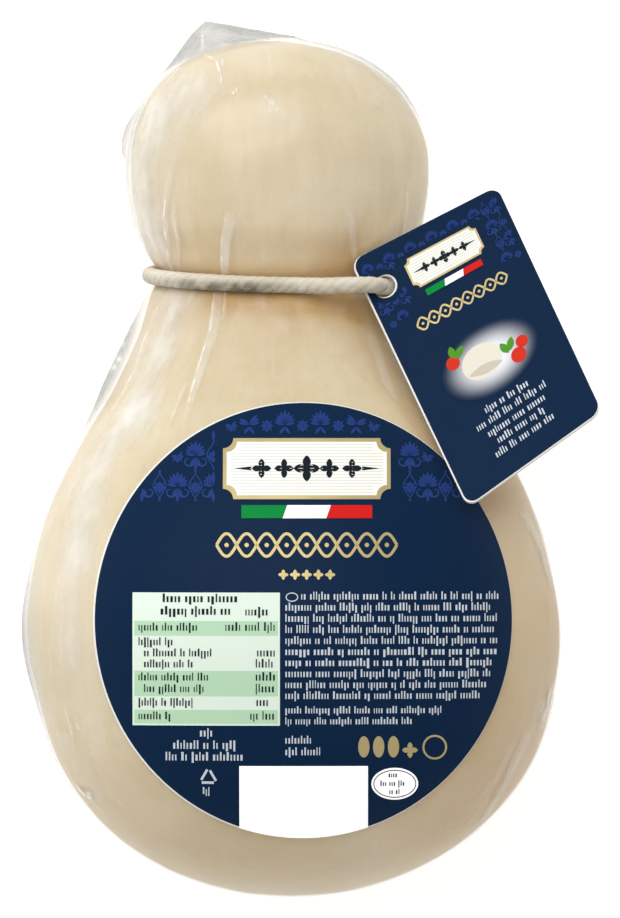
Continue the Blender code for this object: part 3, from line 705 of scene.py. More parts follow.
def fold_height(y, angle):
    """The film's standing fold along the left shoulder, as in the part."""
    along = np.minimum(np.abs(y - FOLD_Y) / FOLD_HALF_LENGTH, 1)
    round_it = np.minimum(np.abs(angle - pi) / FOLD_HALF_ANGLE, 1)
    return FOLD_HEIGHT * np.cos(along * pi / 2) * np.cos(round_it * pi / 2) ** 2


def strip_beside(across, line, strip):
    """(edge, flat) profiles of a fold: its sharp edge, and the flat strip of doubled film at its right."""
    return bell(across, line), ramp(across, -0.2, 0.2) * (1 - ramp(across, 0.55 * strip, strip))


def pleat(shape, y, angle, radius):
    """(edge, flat) of one of the hidden sides' pleats."""
    t = (y - shape.y_from) / (shape.y_to - shape.y_from)
    centre = np.radians(shape.angle_from + (shape.angle_to - shape.angle_from) * t)
    taper = np.where((t > 0) & (t < 1), np.sin(pi * np.clip(t, 0, 1)) ** 0.6, 0)
    edge, flat = strip_beside(-turned(angle, centre) * radius, PLEAT_LINE, shape.strip)
    return taper * edge, taper * flat


def beside_path(x, y, path):
    """How far each (x, y) is to the right of a path that runs down, and the share of the way along it."""
    path = np.array(path)
    best = np.full(x.shape, 1e9)
    across, share = np.full(x.shape, 1e9), np.zeros(x.shape)
    for i, ((x0, y0), (x1, y1)) in enumerate(zip(path, path[1:])):
        dx, dy = x1 - x0, y1 - y0
        held = np.clip(((x - x0) * dx + (y - y0) * dy) / hypot(dx, dy) ** 2, 0, 1)
        away = np.hypot(x - x0 - held * dx, y - y0 - held * dy)
        side = np.sign((y - y0) * dx - (x - x0) * dy)
        nearer = away < best
        across = np.where(nearer, side * away, across)
        share = np.where(nearer, (i + held) / (len(path) - 1), share)
        best = np.minimum(best, away)
    return across, share


def front_fold(fold, x, y):
    """(edge, flat) of one of the folds in front, which fade towards both their ends."""
    reach = fold.strip + 4 * FOLD_LINE
    xs, ys = zip(*fold.path)
    near = (x > min(xs) - reach) & (x < max(xs) + reach) & (y > min(ys) - reach) & (y < max(ys) + reach)
    edge, flat = np.zeros(x.shape), np.zeros(x.shape)
    across, share = beside_path(x[near], y[near], fold.path)
    taper = np.sin(pi * share) ** 0.55
    narrow = fold.strip * (1 - 0.5 * share)
    edge[near], flat[near] = (taper * part for part in strip_beside(across, FOLD_LINE, narrow))
    return edge, flat


def raised(shape, edge, flat):
    """How far a fold or pleat stands up."""
    return shape.height * (0.6 * edge + 0.4 * flat)


def spot(x, y, at_x, at_y, reach):
    return bell(np.hypot(x - at_x, y - at_y), reach)


def off_label(points):
    """0 under the label and 1 away from it."""
    x = (points[..., 0] - LABEL_CENTRE[0]) / LABEL_HALF_WIDTH
    y = (points[..., 1] - LABEL_CENTRE[1]) / LABEL_HALF_HEIGHT
    in_front = points[..., 2] > centre_z(points[..., 1])
    return np.where(in_front, ramp(np.hypot(x, y), 1.0, 1.04), 1.0)


def ear_hull():
    """The film stretched tight round the head and the ear's thin edge, as a tree to cast rays at."""
    bm = bmesh.new()
    for x, y in EAR_OUTLINE:
        for side in (-0.5, 0.5):
            bm.verts.new((x, y, float(centre_z(y)) + side * EAR_EDGE_THICKNESS))
    y, angle = grid_of(head_rings(0.5), 0.5)
    core = np.array([smooth_through(CENTRE_LINE, HEAD_Y), HEAD_Y, 0.0])
    for point in surface(y, angle)[y[:, 0] > HEAD_Y].reshape(-1, 3):
        middle = core + (0, 0, centre_z(point[1]))
        bm.verts.new(middle + (point - middle) * EAR_CORE_SHARE)
    bmesh.ops.convex_hull(bm, input=bm.verts)
    within = [v for v in bm.verts if not v.link_faces]
    bmesh.ops.delete(bm, geom=within, context="VERTS")
    tree = BVHTree.FromBMesh(bm)
    bm.free()
    return tree


def stretched_over_ear(points):
    """The head's points moved out to the ear, and how far each one went."""
    tree = ear_hull()
    middle = Vector((float(smooth_through(CENTRE_LINE, HEAD_Y)), HEAD_Y, float(centre_z(HEAD_Y))))
    flat = points.reshape(-1, 3).copy()
    moved = np.zeros(len(flat))
    for i in np.flatnonzero(flat[:, 1] > HEAD_Y - 4):
        way = Vector(flat[i]) - middle
        hit = tree.ray_cast(middle + way.normalized() * 200, -way.normalized())[0]
        if hit is not None and (hit - middle).length > way.length:
            moved[i] = (hit - middle).length - way.length
            flat[i] = hit
    return flat.reshape(points.shape), moved.reshape(points.shape[:-1])


def film_at_rest(y, angle):
    """(points, haze, glint) of the film with its gathers and pleats, without its standing fold and ear."""
    points = surface(y, angle)
    radius = np.linalg.norm(points - joined(smooth_through(CENTRE_LINE, y), y, centre_z(y)), axis=-1)
    streaks = np.maximum(noise_at(points, 1.8, (1, 12, 1)), 0) * bell(y - NECK_Y, 20)
    height = 0.10 * streaks + 0.05 * (noise_at(points, 4.5, (1, 2, 1)) + 1) / 2
    haze, glint = 0.03 + 0.19 * streaks, np.zeros(y.shape)
    for shape in map(Pleat._make, PLEATS):
        edge, flat = pleat(shape, y, angle, radius)
        height += raised(shape, edge, flat)
        # painted glint along each pleat's edge
        haze, glint = np.maximum(haze, 0.22 * flat), np.maximum(glint, 0.5 * edge)
    return points + outward(points) * (height * off_label(points))[..., None], haze, glint


def film_surface(y, angle):
    """(points, haze, glint, loose, halo) of the film at these places."""
    away = off_label(surface(y, angle))
    points, haze, glint = film_at_rest(y, angle)
    fold = fold_height(y, angle)
    points[..., 0] -= fold
    points, stretch = stretched_over_ear(points)
    hung, folded = ramp(stretch, 0.0, 0.45), ramp(fold, 0.05, 1.3)
    loose = np.maximum(hung, folded)
    halo = ramp(stand_off(y, angle), 0.1, 0.6)
    normals = outward(points)
    x, level = points[..., 0], points[..., 1]
    over_middle = points[..., 2] - centre_z(level)
    in_front = ramp(over_middle, -0.5, 0.5)
    crinkled = 0.07 * loose
    for at_x, at_y, reach, rise in CRINKLES:
        crinkled = np.maximum(crinkled, rise * spot(x, level, at_x, at_y, reach) * in_front)
    uneven = noise_at(points, 3.0, (1, 1.5, 1)) + 0.3 * noise_at(points, 1.1)
    ridges = np.maximum(1 - 2.6 * np.abs(uneven), 0)
    height = crinkled * ridges
    creased = np.clip(crinkled * 8, 0, 1) * ramp(ridges, 0.8, 1.0)
    # painted glints on the crinkles' ridges
    glint = np.maximum(glint, creased * (0.3 - 0.2 * loose))
    hanging = (hung * 0.10 + folded * 0.05) * (0.4 + 0.9 * ridges)
    haze = np.maximum(haze * (1 - 0.6 * np.maximum(loose, halo)), hanging)
    broken = 0.55 + 0.6 * ramp(noise_at(points, 1.6), -0.3, 0.3)
    for shape in map(Fold._make, FOLDS):
        edge, flat = front_fold(shape, x, level)
        height += raised(shape, edge, flat) * in_front * (1 - 0.6 * loose)
        haze = np.maximum(haze, shape.haze * flat * in_front)
        # painted glint along each fold's edge
        glint = np.maximum(glint, np.minimum(shape.glint * edge * broken, 1) * in_front)
    fading_down = ramp(over_middle, -4, 1)
    uneven = 1 + 0.45 * noise_at(points, 5, (1, 4, 1)) + 0.2 * noise_at(points, 1.4, (1, 8, 1))
    # painted highlights: white haze along each path
    for shape in map(PaintedHighlight._make, PAINTED_HIGHLIGHTS):
        across, _ = beside_path(x, level, shape.path)
        highlight_paint = shape.share * uneven * bell(across, shape.reach * uneven) * fading_down * away
        haze, white = haze + (1 - haze) * highlight_paint, 1 - np.minimum(2 * highlight_paint, 1)
        loose, halo = loose * white, halo * white
    for at_x, at_y, reach, share in GLINTS:
        glint = np.maximum(glint, share * spot(x, level, at_x, at_y, reach) * in_front)
    points = points + normals * (height * away)[..., None]
    points[..., 2] = np.maximum(points[..., 2], 0.0)
    return points, np.minimum(haze, 0.95), glint, loose, halo


def film():
    """The film in two lengths, which meet below the cord."""
    material = film_material()
    lengths = (("film_over_body", body_rings(), "bottom"), ("film_over_head", head_rings(), "crown"))
    for name, levels, end in lengths:
        y, angle = grid_of(levels)
        points, *looks = film_surface(y, angle)
        rings, sides = y.shape
        faces = ring_faces(rings, sides, **{end: rings * sides})
        last_ring = 0 if end == "bottom" else -1
        everything = np.concatenate([points.reshape(-1, 3), [points[last_ring].mean(axis=0)]])
        at_tip = (looks[0][last_ring].mean(), 0.0, 0.0, 0.0)
        values = {key: np.append(*look) for key, *look in zip(FILM_LOOKS, looks, at_tip)}
        stand_for(add_mesh(name, everything, faces, material, attributes=values), "wrapped_cheese")


# ---- Flat shapes and prints ----


def inside(points, loop):
    """True for each point that lies within the closed loop."""
    x, y = points[:, 0, None], points[:, 1, None]
    x0, y0 = loop.T
    x1, y1 = np.roll(loop, -1, axis=0).T
    crossing = (y0 > y) != (y1 > y)
    rise = np.where(y1 == y0, 1.0, y1 - y0)
    return (crossing & (x < x0 + (x1 - x0) * (y - y0) / rise)).sum(axis=1) % 2 == 1


def flat_fill(outline, holes=(), step=PRINT_STEP):
    """(points, triangles) that fill an outline, apart from its holes, at about this step."""
    loops = [np.asarray(loop, float) for loop in (outline, *holes)]
    rim = np.concatenate(loops)
    edges, start = [], 0
    for loop in loops:
        edges += [(start + k, start + (k + 1) % len(loop)) for k in range(len(loop))]
        start += len(loop)
    low, high = rim.min(axis=0), rim.max(axis=0)
    rows = np.arange(low[1] + step / 2, high[1], step)
    grid = [(x + step / 2 * (i % 2), y) for i, y in enumerate(rows) for x in np.arange(low[0], high[0], step)]
    grid = np.array(grid, float).reshape(-1, 2)

    def open_to(places):
        in_holes = [inside(places, hole) for hole in loops[1:]] or [False]
        return inside(places, loops[0]) & ~np.any(in_holes, axis=0)

    grid = grid[open_to(grid)]
    gaps = np.linalg.norm(grid[:, None] - rim[None], axis=-1).min(axis=1)
    places = [Vector(p) for p in np.concatenate([rim, grid[gaps > 0.5 * step]])]
    made = delaunay_2d_cdt(places, edges, [], 1, 1e-5)
    flat = np.array([tuple(p) for p in made[0]])
    middles = np.array([flat[list(face)].mean(axis=0) for face in made[2]])
    return flat, [list(face) for face, kept in zip(made[2], open_to(middles)) if kept]


class Print:
    """Thin closed plates of one ink, laid on a surface. place(x, y, out) gives points of that surface."""

    def __init__(self, place, lift, thickness=INK_THICKNESS):
        self.place, self.lift, self.thickness = place, lift, thickness
        self.points, self.faces, self.values = [], [], []

    def plate(self, flat, faces, value=0.0):
        flat = np.asarray(flat, float)
        start, count = len(self.points), len(flat)
        for out in (self.lift, self.lift + self.thickness):
            self.points += self.place(flat[:, 0], flat[:, 1], out).tolist()
        self.values += list(np.broadcast_to(value, count)) * 2
        a, b, c = (flat[[face[k] for face in faces]] for k in (0, 1, 2))
        area = np.cross(b - a, c - a).sum()
        edges = set()
        for face in faces:
            face = list(face) if area > 0 else list(face)[::-1]
            self.faces.append([start + count + k for k in face])
            self.faces.append([start + k for k in reversed(face)])
            edges.update(zip(face, face[1:] + face[:1]))
        for a, b in sorted(edges):
            if (b, a) not in edges:
                self.faces.append([start + a, start + b, start + count + b, start + count + a])

    def grid(self, places, closed=False):
        """A plate from rows of (x, y) places. A closed one joins its last row to its first."""
        places = np.asarray(places, float)
        rows, columns = places.shape[:2]
        faces = []
        for i in range(rows if closed else rows - 1):
            low, high = i * columns, (i + 1) % rows * columns
            faces += [[low + k, low + k + 1, high + k + 1, high + k] for k in range(columns - 1)]
        self.plate(places.reshape(-1, 2), faces)

    def box(self, left, bottom, right, top):
        columns = max(2, int((right - left) / PRINT_STEP) + 2)
        rows = max(2, int((top - bottom) / PRINT_STEP) + 2)
        y, x = np.meshgrid(np.linspace(bottom, top, rows), np.linspace(left, right, columns), indexing="ij")
        self.grid(joined(x, y))

    def line(self, path, width, closed=False):
        """A line of this width, or of a width for each point, along a path."""
        path = np.asarray(path, float)
        if closed:
            run = np.roll(path, -1, axis=0) - np.roll(path, 1, axis=0)
        else:
            run = np.gradient(path, axis=0)
        side = unit(joined(-run[:, 1], run[:, 0]))
        half = np.broadcast_to(np.asarray(width, float) / 2, len(path))[:, None]
        self.grid(np.stack([path - side * half, path + side * half], axis=1), closed)

    def ring(self, x, y, half_wide, half_high, width, count=48):
        turn = np.linspace(0, 2 * pi, count, endpoint=False)
        self.line(joined(x + half_wide * np.cos(turn), y + half_high * np.sin(turn)), width, closed=True)

    def disc(self, x, y, half_wide, half_high, count):
        """An ellipse filled by a square grid bent to its shape."""
        v, u = np.meshgrid(np.linspace(-1, 1, count), np.linspace(-1, 1, count), indexing="ij")
        across, up = u * np.sqrt(1 - v**2 / 2), v * np.sqrt(1 - u**2 / 2)
        self.grid(joined(x + half_wide * across, y + half_high * up))

    def petal(self, x, y, length, width, turn, count=8):
        """A pointed leaf that starts at (x, y) and runs the way turn says."""
        t = np.linspace(0, 1, count)
        half = width / 2 * np.sin(pi * t) ** 0.8 + 0.01
        along = np.array([cos(turn), sin(turn)])
        side = np.array([-along[1], along[0]])
        spine = np.array([x, y]) + np.outer(t * length, along)
        self.grid(np.stack([spine - np.outer(half, side), spine + np.outer(half, side)], axis=1))

    def fill(self, outline, holes=()):
        self.plate(*flat_fill(outline, holes))

    def piece(self, name, node, slot, material, attribute=None):
        values = {attribute: self.values} if attribute else None
        stand_for(add_mesh(name, self.points, self.faces, material, radians(40), values), node)


def rounded_box(left, bottom, right, top, radius, inward=False, steps=6):
    """The outline of a rectangle whose corners are rounded, or notched by inward arcs."""
    inset = 0 if inward else radius
    left, bottom, right, top = left + inset, bottom + inset, right - inset, top - inset
    points = []
    for quarter, (x, y) in enumerate(((right, top), (left, top), (left, bottom), (right, bottom))):
        for k in range(steps + 1):
            turn = pi / 2 * (quarter + (3 - k / steps if inward else k / steps))
            points.append((x + radius * cos(turn), y + radius * sin(turn)))
    return divided(points)


def divided(corners, step=PRINT_STEP):
    """A closed outline with points along its straight edges, no further apart than step."""
    points = []
    for (x0, y0), (x1, y1) in zip(corners, corners[1:] + corners[:1]):
        pieces = max(1, round(hypot(x1 - x0, y1 - y0) / step))
        points += [(x0 + (x1 - x0) * k / pieces, y0 + (y1 - y0) * k / pieces) for k in range(pieces)]
    return points


# ---- Generic artwork ----

NAVY = srgb(13, 38, 67)
DAMASK = srgb(36, 61, 124)
LINE_BLUE = srgb(40, 65, 124)
GOLD = srgb(196, 178, 128)
CREAM = srgb(248, 248, 240)
WHITE = srgb(250, 250, 250)
RULE_GREY = srgb(222, 222, 214)
GREEN = srgb(8, 138, 62)
RED = srgb(214, 34, 30)
MINT = srgb(228, 242, 228)
MINT_DARK = srgb(186, 221, 187)
DARK_INK = srgb(26, 34, 40)
PALE_INK = srgb(206, 213, 221)

Ink = namedtuple("Ink", "name level colour settings")
Panel = namedtuple("Panel", "x y wide high frame notch")


def shared_inks(panel, white):
    """The inks of both label and tag, with the settings of the panel's and of the white."""
    return (
        Ink("flowers", 1, DAMASK, {}),
        Ink("net", 1, LINE_BLUE, {}),
        Ink("gold", 1, GOLD, {"roughness": 0.36, "metallic": 0.35}),
        Ink("panel", 2, CREAM, panel),
        Ink("rules", 3, RULE_GREY, {}),
        Ink("motif", 3, DARK_INK, {}),
        Ink("green", 4, GREEN, {}),
        Ink("white", 4, WHITE, white),
        Ink("red", 4, RED, {}),
    )


def empty_prints(inks, place, ground):
    """A print for each ink, at its level over the ground."""
    return {ink.name: Print(place, ground + INK_STEP * ink.level - INK_SINK) for ink in inks}


def make_pieces(inks, prints, node, slot):
    for ink in inks:
        name = f"{slot}_{ink.name}"
        prints[ink.name].piece(name, node, slot, print_material(name + "_ink", ink.colour, **ink.settings))


def cross(ink, x, y, length, width):
    for k in range(4):
        ink.petal(x, y, length, width, pi / 2 * k)


def cartouche(prints, panel):
    """A cream panel with notched corners in a gold frame, ruled with fine lines, and a row of crosses."""
    x, y, wide, high, frame_width, notch = panel
    left, bottom, right, top = x - wide / 2, y - high / 2, x + wide / 2, y + high / 2
    prints["gold"].fill(rounded_box(left, bottom, right, top, notch, inward=True))
    f = frame_width
    prints["panel"].fill(rounded_box(left + f, bottom + f, right - f, top - f, notch, inward=True))
    rows = max(4, int((high - 2 * f) / RULE_PITCH))
    for k in range(1, rows):
        level = bottom + f + (high - 2 * f) * k / rows
        ends = notch + 2 * f if abs(level - y) > high / 2 - f - notch else 2 * f
        prints["rules"].box(left + ends, level - RULE_WIDTH / 2, right - ends, level + RULE_WIDTH / 2)
    size = high * 0.16
    for k in range(-2, 3):
        grow = 1.35 if k == 0 else 1.0
        cross(prints["motif"], x + k * wide * 0.135, y, size * grow, size * 0.62 * grow)
    for side in (-1, 1):
        tail = np.linspace(x + side * wide * 0.33, x + side * wide * 0.43, 6)
        prints["motif"].line(joined(tail, y), np.linspace(size * 0.4, 0.04, 6))


def tricolour(prints, x, y, wide, high):
    """Three plain bands side by side, slanted where they meet."""
    slant = high * 0.35
    t = np.linspace(0, 1, 8)
    for k, ink in enumerate(("green", "white", "red")):
        low = x - wide / 2 + wide / 3 * (k + t)
        lean_left, lean_right = (slant if k else 0), (slant if k < 2 else 0)
        lean = lean_left + (lean_right - lean_left) * t
        bottom = joined(low - lean / 2, y - high / 2)
        top = joined(low + lean / 2, y + high / 2)
        prints[ink].grid(np.stack([bottom, (bottom + top) / 2, top], axis=1))


def interlace(gold, x, y, wide, high, loops, stroke):
    """A running band of two crossing waves with a bead in each eye."""
    t = np.linspace(0, 1, loops * 16 + 1)
    for side in (-1, 1):
        wave = side * (high / 2 - stroke / 2) * np.sin(pi * loops * t)
        gold.line(joined(x + wide * (t - 0.5), y + wave), stroke)
    for k in range(loops):
        gold.disc(x + wide * ((k + 0.5) / loops - 0.5), y, stroke * 0.75, stroke * 0.75, 5)


def dashes(ink, rng, left, right, y, size, weight=1.0):
    """A line of upright dashes in groups, as fine print looks from afar. size is a low dash's height."""
    x = left
    while x < right - size:
        for _ in range(rng.randint(2, 9)):
            wide = size * rng.uniform(0.17, 0.34) * weight
            if x + wide > right:
                break
            top = y + size * (1.45 if rng.random() < 0.28 else 1.0)
            bottom = y - size * (0.4 if rng.random() < 0.12 else 0.0)
            ink.grid([[(x, bottom), (x + wide, bottom)], [(x, top), (x + wide, top)]])
            x += wide + size * 0.3
        x += size * 0.55


def lines_of_print(ink, rng, lines, size, weight=1.0):
    """Lines of dashes, each (level, left, right)."""
    for y, left, right in lines:
        dashes(ink, rng, left, right, y, size, weight)


def leaf(ink, allowed, x, y, length, wide, turn):
    """A leaf that is left out if either of its ends isn't allowed."""
    if allowed(np.array([x, x + length * cos(turn)]), np.array([y, y + length * sin(turn)])).all():
        ink.petal(x, y, length, wide, turn)


def curl(ink, allowed, x, y, width):
    """A curved line that is left out unless all of it is allowed."""
    if allowed(x, y).all():
        ink.line(joined(x, y), width)


def flower(ink, allowed, x, y, size):
    """Four broad petals with four thin leaves between them."""
    for k in range(4):
        leaf(ink, allowed, x, y, size, size * 0.6, pi / 2 * k)
        leaf(ink, allowed, x, y, size * 1.15, size * 0.3, pi / 2 * k + pi / 4)


def palmette(prints, allowed, x, y, size):
    """A fan of nine leaves on a short stem, with a scroll and a low leaf at each side of it."""
    ink = prints["flowers"]
    for k in range(-4, 5):
        leaf(ink, allowed, x, y, size * (1.0 - 0.07 * abs(k)), size * 0.24, pi / 2 + 0.36 * k)
    t = np.linspace(0, 1, 16)
    swing, reach = 1.6 * pi * t, size * (0.46 - 0.34 * t)
    for side in (-1, 1):
        scroll_x = x + side * (size * 0.5 - reach * np.cos(swing))
        scroll_y = y - size * 0.42 - reach * np.sin(swing)
        curl(prints["net"], allowed, scroll_x, scroll_y, np.linspace(size * 0.15, size * 0.05, 16))
        leaf(ink, allowed, x, y - size * 0.2, size * 0.62, size * 0.2, pi / 2 + side * 2.5)
    leaf(ink, allowed, x, y - size * 1.15, size * 0.7, size * 0.22, pi / 2)


def frieze(prints, allowed, left, right, bottom, top, wide, high):
    """Rows of palmettes, every second one shifted, with flowers and upright stems between them."""
    t = np.linspace(-0.5, 0.5, 14)
    for row, y in enumerate(np.arange(bottom, top, high)):
        for x in np.arange(left + wide / 2 * (row % 2), right, wide):
            palmette(prints, allowed, x, y, wide * 0.4)
            flower(prints["flowers"], allowed, x + wide / 2, y - high * 0.06, wide * 0.17)
            for side in (-1, 1):
                stem_x = x + side * wide * (0.42 - 0.1 * np.cos(2 * pi * t))
                curl(prints["net"], allowed, stem_x, y + high * t, wide * 0.03)


# ---- The label ----

LABEL_INKS = (
    Ink("ground", 0, NAVY, {}),
    # the label's white ink gets a faint painted glow
    *shared_inks({"unevenness": 0.02}, {"unevenness": 0.02, "painted_glow": 0.15}),
    Ink("mint", 1, MINT, {"unevenness": 0.02}),
    Ink("mint_rows", 2, MINT_DARK, {"unevenness": 0.03}),
    Ink("dark_print", 3, DARK_INK, {}),
    Ink("pale_print", 1, PALE_INK, {}),
    # the blank gets a stronger painted glow
    Ink("blank", 1, WHITE, {"unevenness": 0.02, "painted_glow": 0.34}),
    Ink("stamp", 2, NAVY, {}),
)
LABEL_PANEL = Panel(0.6, 22.0, 24.4, 8.9, 0.55, 1.5)
FRIEZE_LEVEL = 17.4  # below it the ground is plain
SCALLOP = 1.3
SCALLOP_PITCH = 7.4
TABLE_LEFT, TABLE_BOTTOM, TABLE_RIGHT, TABLE_TOP = -24.7, -15.3, -3.3, 4.0
TABLE_DARK_ROWS = ((-2.2, -0.1), (-11.0, -7.3), (-15.0, -13.0))  # (bottom, top)
TABLE_RIM = 0.28  # beside the darker rows
TABLE_ENTRIES = (  # level, left and right end from the table's left, and the length of the figure
    (-1.5, 0.9, 10.5, 7.0),
    (-3.6, 0.9, 6.2, 0),
    (-5.2, 1.7, 12.0, 2.4),
    (-6.8, 1.7, 9.6, 2.6),
    (-8.7, 0.9, 11.0, 2.6),
    (-10.4, 1.7, 11.6, 2.6),
    (-12.4, 0.9, 9.6, 2.5),
    (-14.4, 0.9, 5.6, 3.4),
)
TEXT_LEFT = -2.5
TEXT_TOP = 3.0
TEXT_PITCH = 1.6
TEXT_MARGIN = 1.9
TEXT_LINES = 10
TEXT_HEAVY_LINES = (5, 6)
STAMP_CENTRE = (13.4, -23.8)
STAMP_LINES = ((-22.85, 0.9), (-24.1, 2.1), (-25.3, 0.8))  # (level, half width)
BLANK_LEFT, BLANK_RIGHT, BLANK_TOP = -9.2, 9.5, -21.2


def on_label(x, y, out):
    """Points of the front below the place (x, y) of the artwork, from the label's centre."""
    x, y = x * LABEL_HALF_WIDTH / ART_HALF_WIDTH, y * LABEL_HALF_HEIGHT / ART_HALF_HEIGHT
    return front(LABEL_CENTRE[0] + x, LABEL_CENTRE[1] + y, out)


def text_end(y):
    """How far fine print reaches to the right at a height above the label's centre."""
    share = y / (ART_HALF_HEIGHT - TEXT_MARGIN)
    return (ART_HALF_WIDTH - TEXT_MARGIN) * (1 - share**2) ** 0.5


def in_label_frieze(x, y):
    """True inside the label, above a scalloped line and off the panel."""
    within = np.hypot(x / (ART_HALF_WIDTH - 0.8), y / (ART_HALF_HEIGHT - 0.8)) < 1
    beside_panel = np.abs(x - LABEL_PANEL.x) > LABEL_PANEL.wide / 2 + 0.9
    over_panel = y > LABEL_PANEL.y + LABEL_PANEL.high / 2 + 0.6
    scallop = FRIEZE_LEVEL - SCALLOP * np.abs(np.sin(pi * x / SCALLOP_PITCH))
    return within & (beside_panel | over_panel) & (y > scallop)


def label_table(prints, rng):
    """A pale green table with three darker rows, a heading, entries and figures."""
    prints["mint"].box(TABLE_LEFT, TABLE_BOTTOM, TABLE_RIGHT, TABLE_TOP)
    for bottom, top in TABLE_DARK_ROWS:
        prints["mint_rows"].box(TABLE_LEFT + TABLE_RIM, bottom, TABLE_RIGHT - TABLE_RIM, top)
    dark = prints["dark_print"]
    heading = ((2.6, TABLE_LEFT + 4.4, TABLE_RIGHT - 6.0), (0.8, TABLE_LEFT + 4.1, TABLE_RIGHT - 6.6))
    lines_of_print(dark, rng, heading, 0.85, 1.35)
    dashes(dark, rng, TABLE_RIGHT - 5.0, TABLE_RIGHT - 0.9, 0.7, 0.85, 1.2)
    for y, start, end, figure in TABLE_ENTRIES:
        dashes(dark, rng, TABLE_LEFT + start, TABLE_LEFT + end, y, 0.78)
        if figure:
            dashes(dark, rng, TABLE_RIGHT - 0.9 - figure, TABLE_RIGHT - 0.7, y, 0.85)


def label_text(pale, rng):
    """Lines that reach to the label's edge after a small ring, then short lines and a triangle."""
    for k in range(TEXT_LINES):
        y = TEXT_TOP - TEXT_PITCH * k
        heavy = 1.4 if k in TEXT_HEAVY_LINES else 1.0
        dashes(pale, rng, TEXT_LEFT if k else TEXT_LEFT + 2.3, text_end(y), y, 0.78, heavy)
    pale.ring(-1.55, 3.35, half_wide=0.85, half_high=0.6, width=0.14, count=24)
    lines_of_print(pale, rng, ((-13.5, TEXT_LEFT, 20.4), (-15.1, TEXT_LEFT, 17.0)), 0.72)
    lines_of_print(pale, rng, ((-16.9, -14.9, -12.8), (-18.7, -18.8, -8.7), (-20.4, -19.9, -7.6)), 0.85, 1.15)
    lines_of_print(pale, rng, ((-17.9, TEXT_LEFT, 2.6), (-19.6, TEXT_LEFT, 3.2)), 0.78)
    triangle_mark(pale, -13.7, -22.9, 1.45)
    dashes(pale, rng, -14.5, -12.7, -25.3, 0.7, 1.2)


def triangle_mark(ink, x, y, size):
    """Three bars round an open triangle."""
    corners = [pi / 2 + 2 * pi / 3 * k for k in range(4)]
    places = [np.array([x + size * cos(turn), y + size * sin(turn)]) for turn in corners]
    share = np.linspace(0.12, 0.82, 6)[:, None]
    for a, b in zip(places, places[1:]):
        ink.line(a + (b - a) * share, 0.36)


def gold_marks(gold):
    """Three ovals, a cross and a ring in a row."""
    for k in range(3):
        gold.disc(8.9 + 2.15 * k, -18.4, half_wide=0.82, half_high=1.55, count=8)
    cross(gold, 15.6, -18.9, length=1.15, width=0.75)
    gold.ring(19.2, -18.5, half_wide=1.65, half_high=1.65, width=0.28)


def label_blanks(prints, rng):
    """The white field that runs down to the label's edge, and a white oval with a ring and short lines."""
    x = np.linspace(BLANK_LEFT, BLANK_RIGHT, 14)
    low = -(ART_HALF_HEIGHT - 0.02) * np.sqrt(1 - (x / ART_HALF_WIDTH) ** 2)
    rise = np.linspace(0, 1, 8)[:, None]
    prints["blank"].grid(joined(x, low + (BLANK_TOP - low) * rise))
    prints["blank"].disc(*STAMP_CENTRE, half_wide=3.4, half_high=2.33, count=14)
    prints["stamp"].ring(*STAMP_CENTRE, half_wide=3.05, half_high=1.98, width=0.12, count=40)
    middle = STAMP_CENTRE[0]
    for y, half in STAMP_LINES:
        dashes(prints["stamp"], rng, middle - half, middle + half, y, 0.55, 1.2)


def label():
    sheet = Print(on_label, LABEL_LIFT, LABEL_THICKNESS)
    sheet.disc(0, 0, ART_HALF_WIDTH, ART_HALF_HEIGHT, 60)
    sheet.piece("label_sheet", "front_label", "label", board_material())
    prints = empty_prints(LABEL_INKS, on_label, LABEL_LIFT + LABEL_THICKNESS)
    printed = (ART_HALF_WIDTH - LABEL_RIM, ART_HALF_HEIGHT - LABEL_RIM)
    prints["ground"].disc(LABEL_PRINT_OFFSET, 0, *printed, 60)
    gold, middle = prints["gold"], LABEL_PANEL.x
    cartouche(prints, LABEL_PANEL)
    tricolour(prints, middle, y=15.7, wide=19.0, high=1.9)
    interlace(gold, middle, y=10.9, wide=26.2, high=3.7, loops=9, stroke=0.42)
    for k in range(-2, 3):
        cross(gold, middle + 1.7 * k, 6.6, length=0.75, width=0.5)
    frieze(prints, in_label_frieze, left=-28.6, right=29.6, bottom=19.5, top=32, wide=5.2, high=4.5)
    rng = random.Random(3)
    label_table(prints, rng)
    label_text(prints["pale_print"], rng)
    gold_marks(gold)
    label_blanks(prints, rng)
    make_pieces(LABEL_INKS, prints, "front_label", "label")


# ---- The hang tag ----

TAG_INKS = shared_inks({}, {})
PICTURE_INKS = (
    Ink("ivory", 2, srgb(232, 226, 210), {}),
    Ink("ivory_shade", 3, srgb(206, 198, 180), {}),
    Ink("leaves", 3, srgb(84, 150, 46), {}),
    Ink("fruit", 2, srgb(212, 52, 36), {}),
    Ink("pale_print", 1, PALE_INK, {}),
)
TAG_SKIN = 0.03  # the thickness of its printed faces
TAG_RIM = 0.24  # of bare white at the left and the bottom corner, where the cut shows
TAG_HOLE = (TAG_HOLE_ACROSS - TAG_WIDTH / 2, TAG_LENGTH / 2 - TAG_HOLE_ALONG)
TAG_PANEL = Panel(0.7, 15.2, 12.2, 5.2, 0.3, 0.8)
TAG_TEXT_MIDDLE = 0.35
TAG_TEXT_LINES = ((-10.9, 4.0), (-12.7, 6.3), (-14.5, 5.1), (-16.2, 4.2), (-18.0, 5.4))  # (level, half width)
GLOW_CENTRE = (0.4, -3.6)
GLOW_HALF_WIDTH = 8.2
GLOW_HALF_HEIGHT = 5.6
GLOW_RINGS = 14
GLOW_SIDES = 56


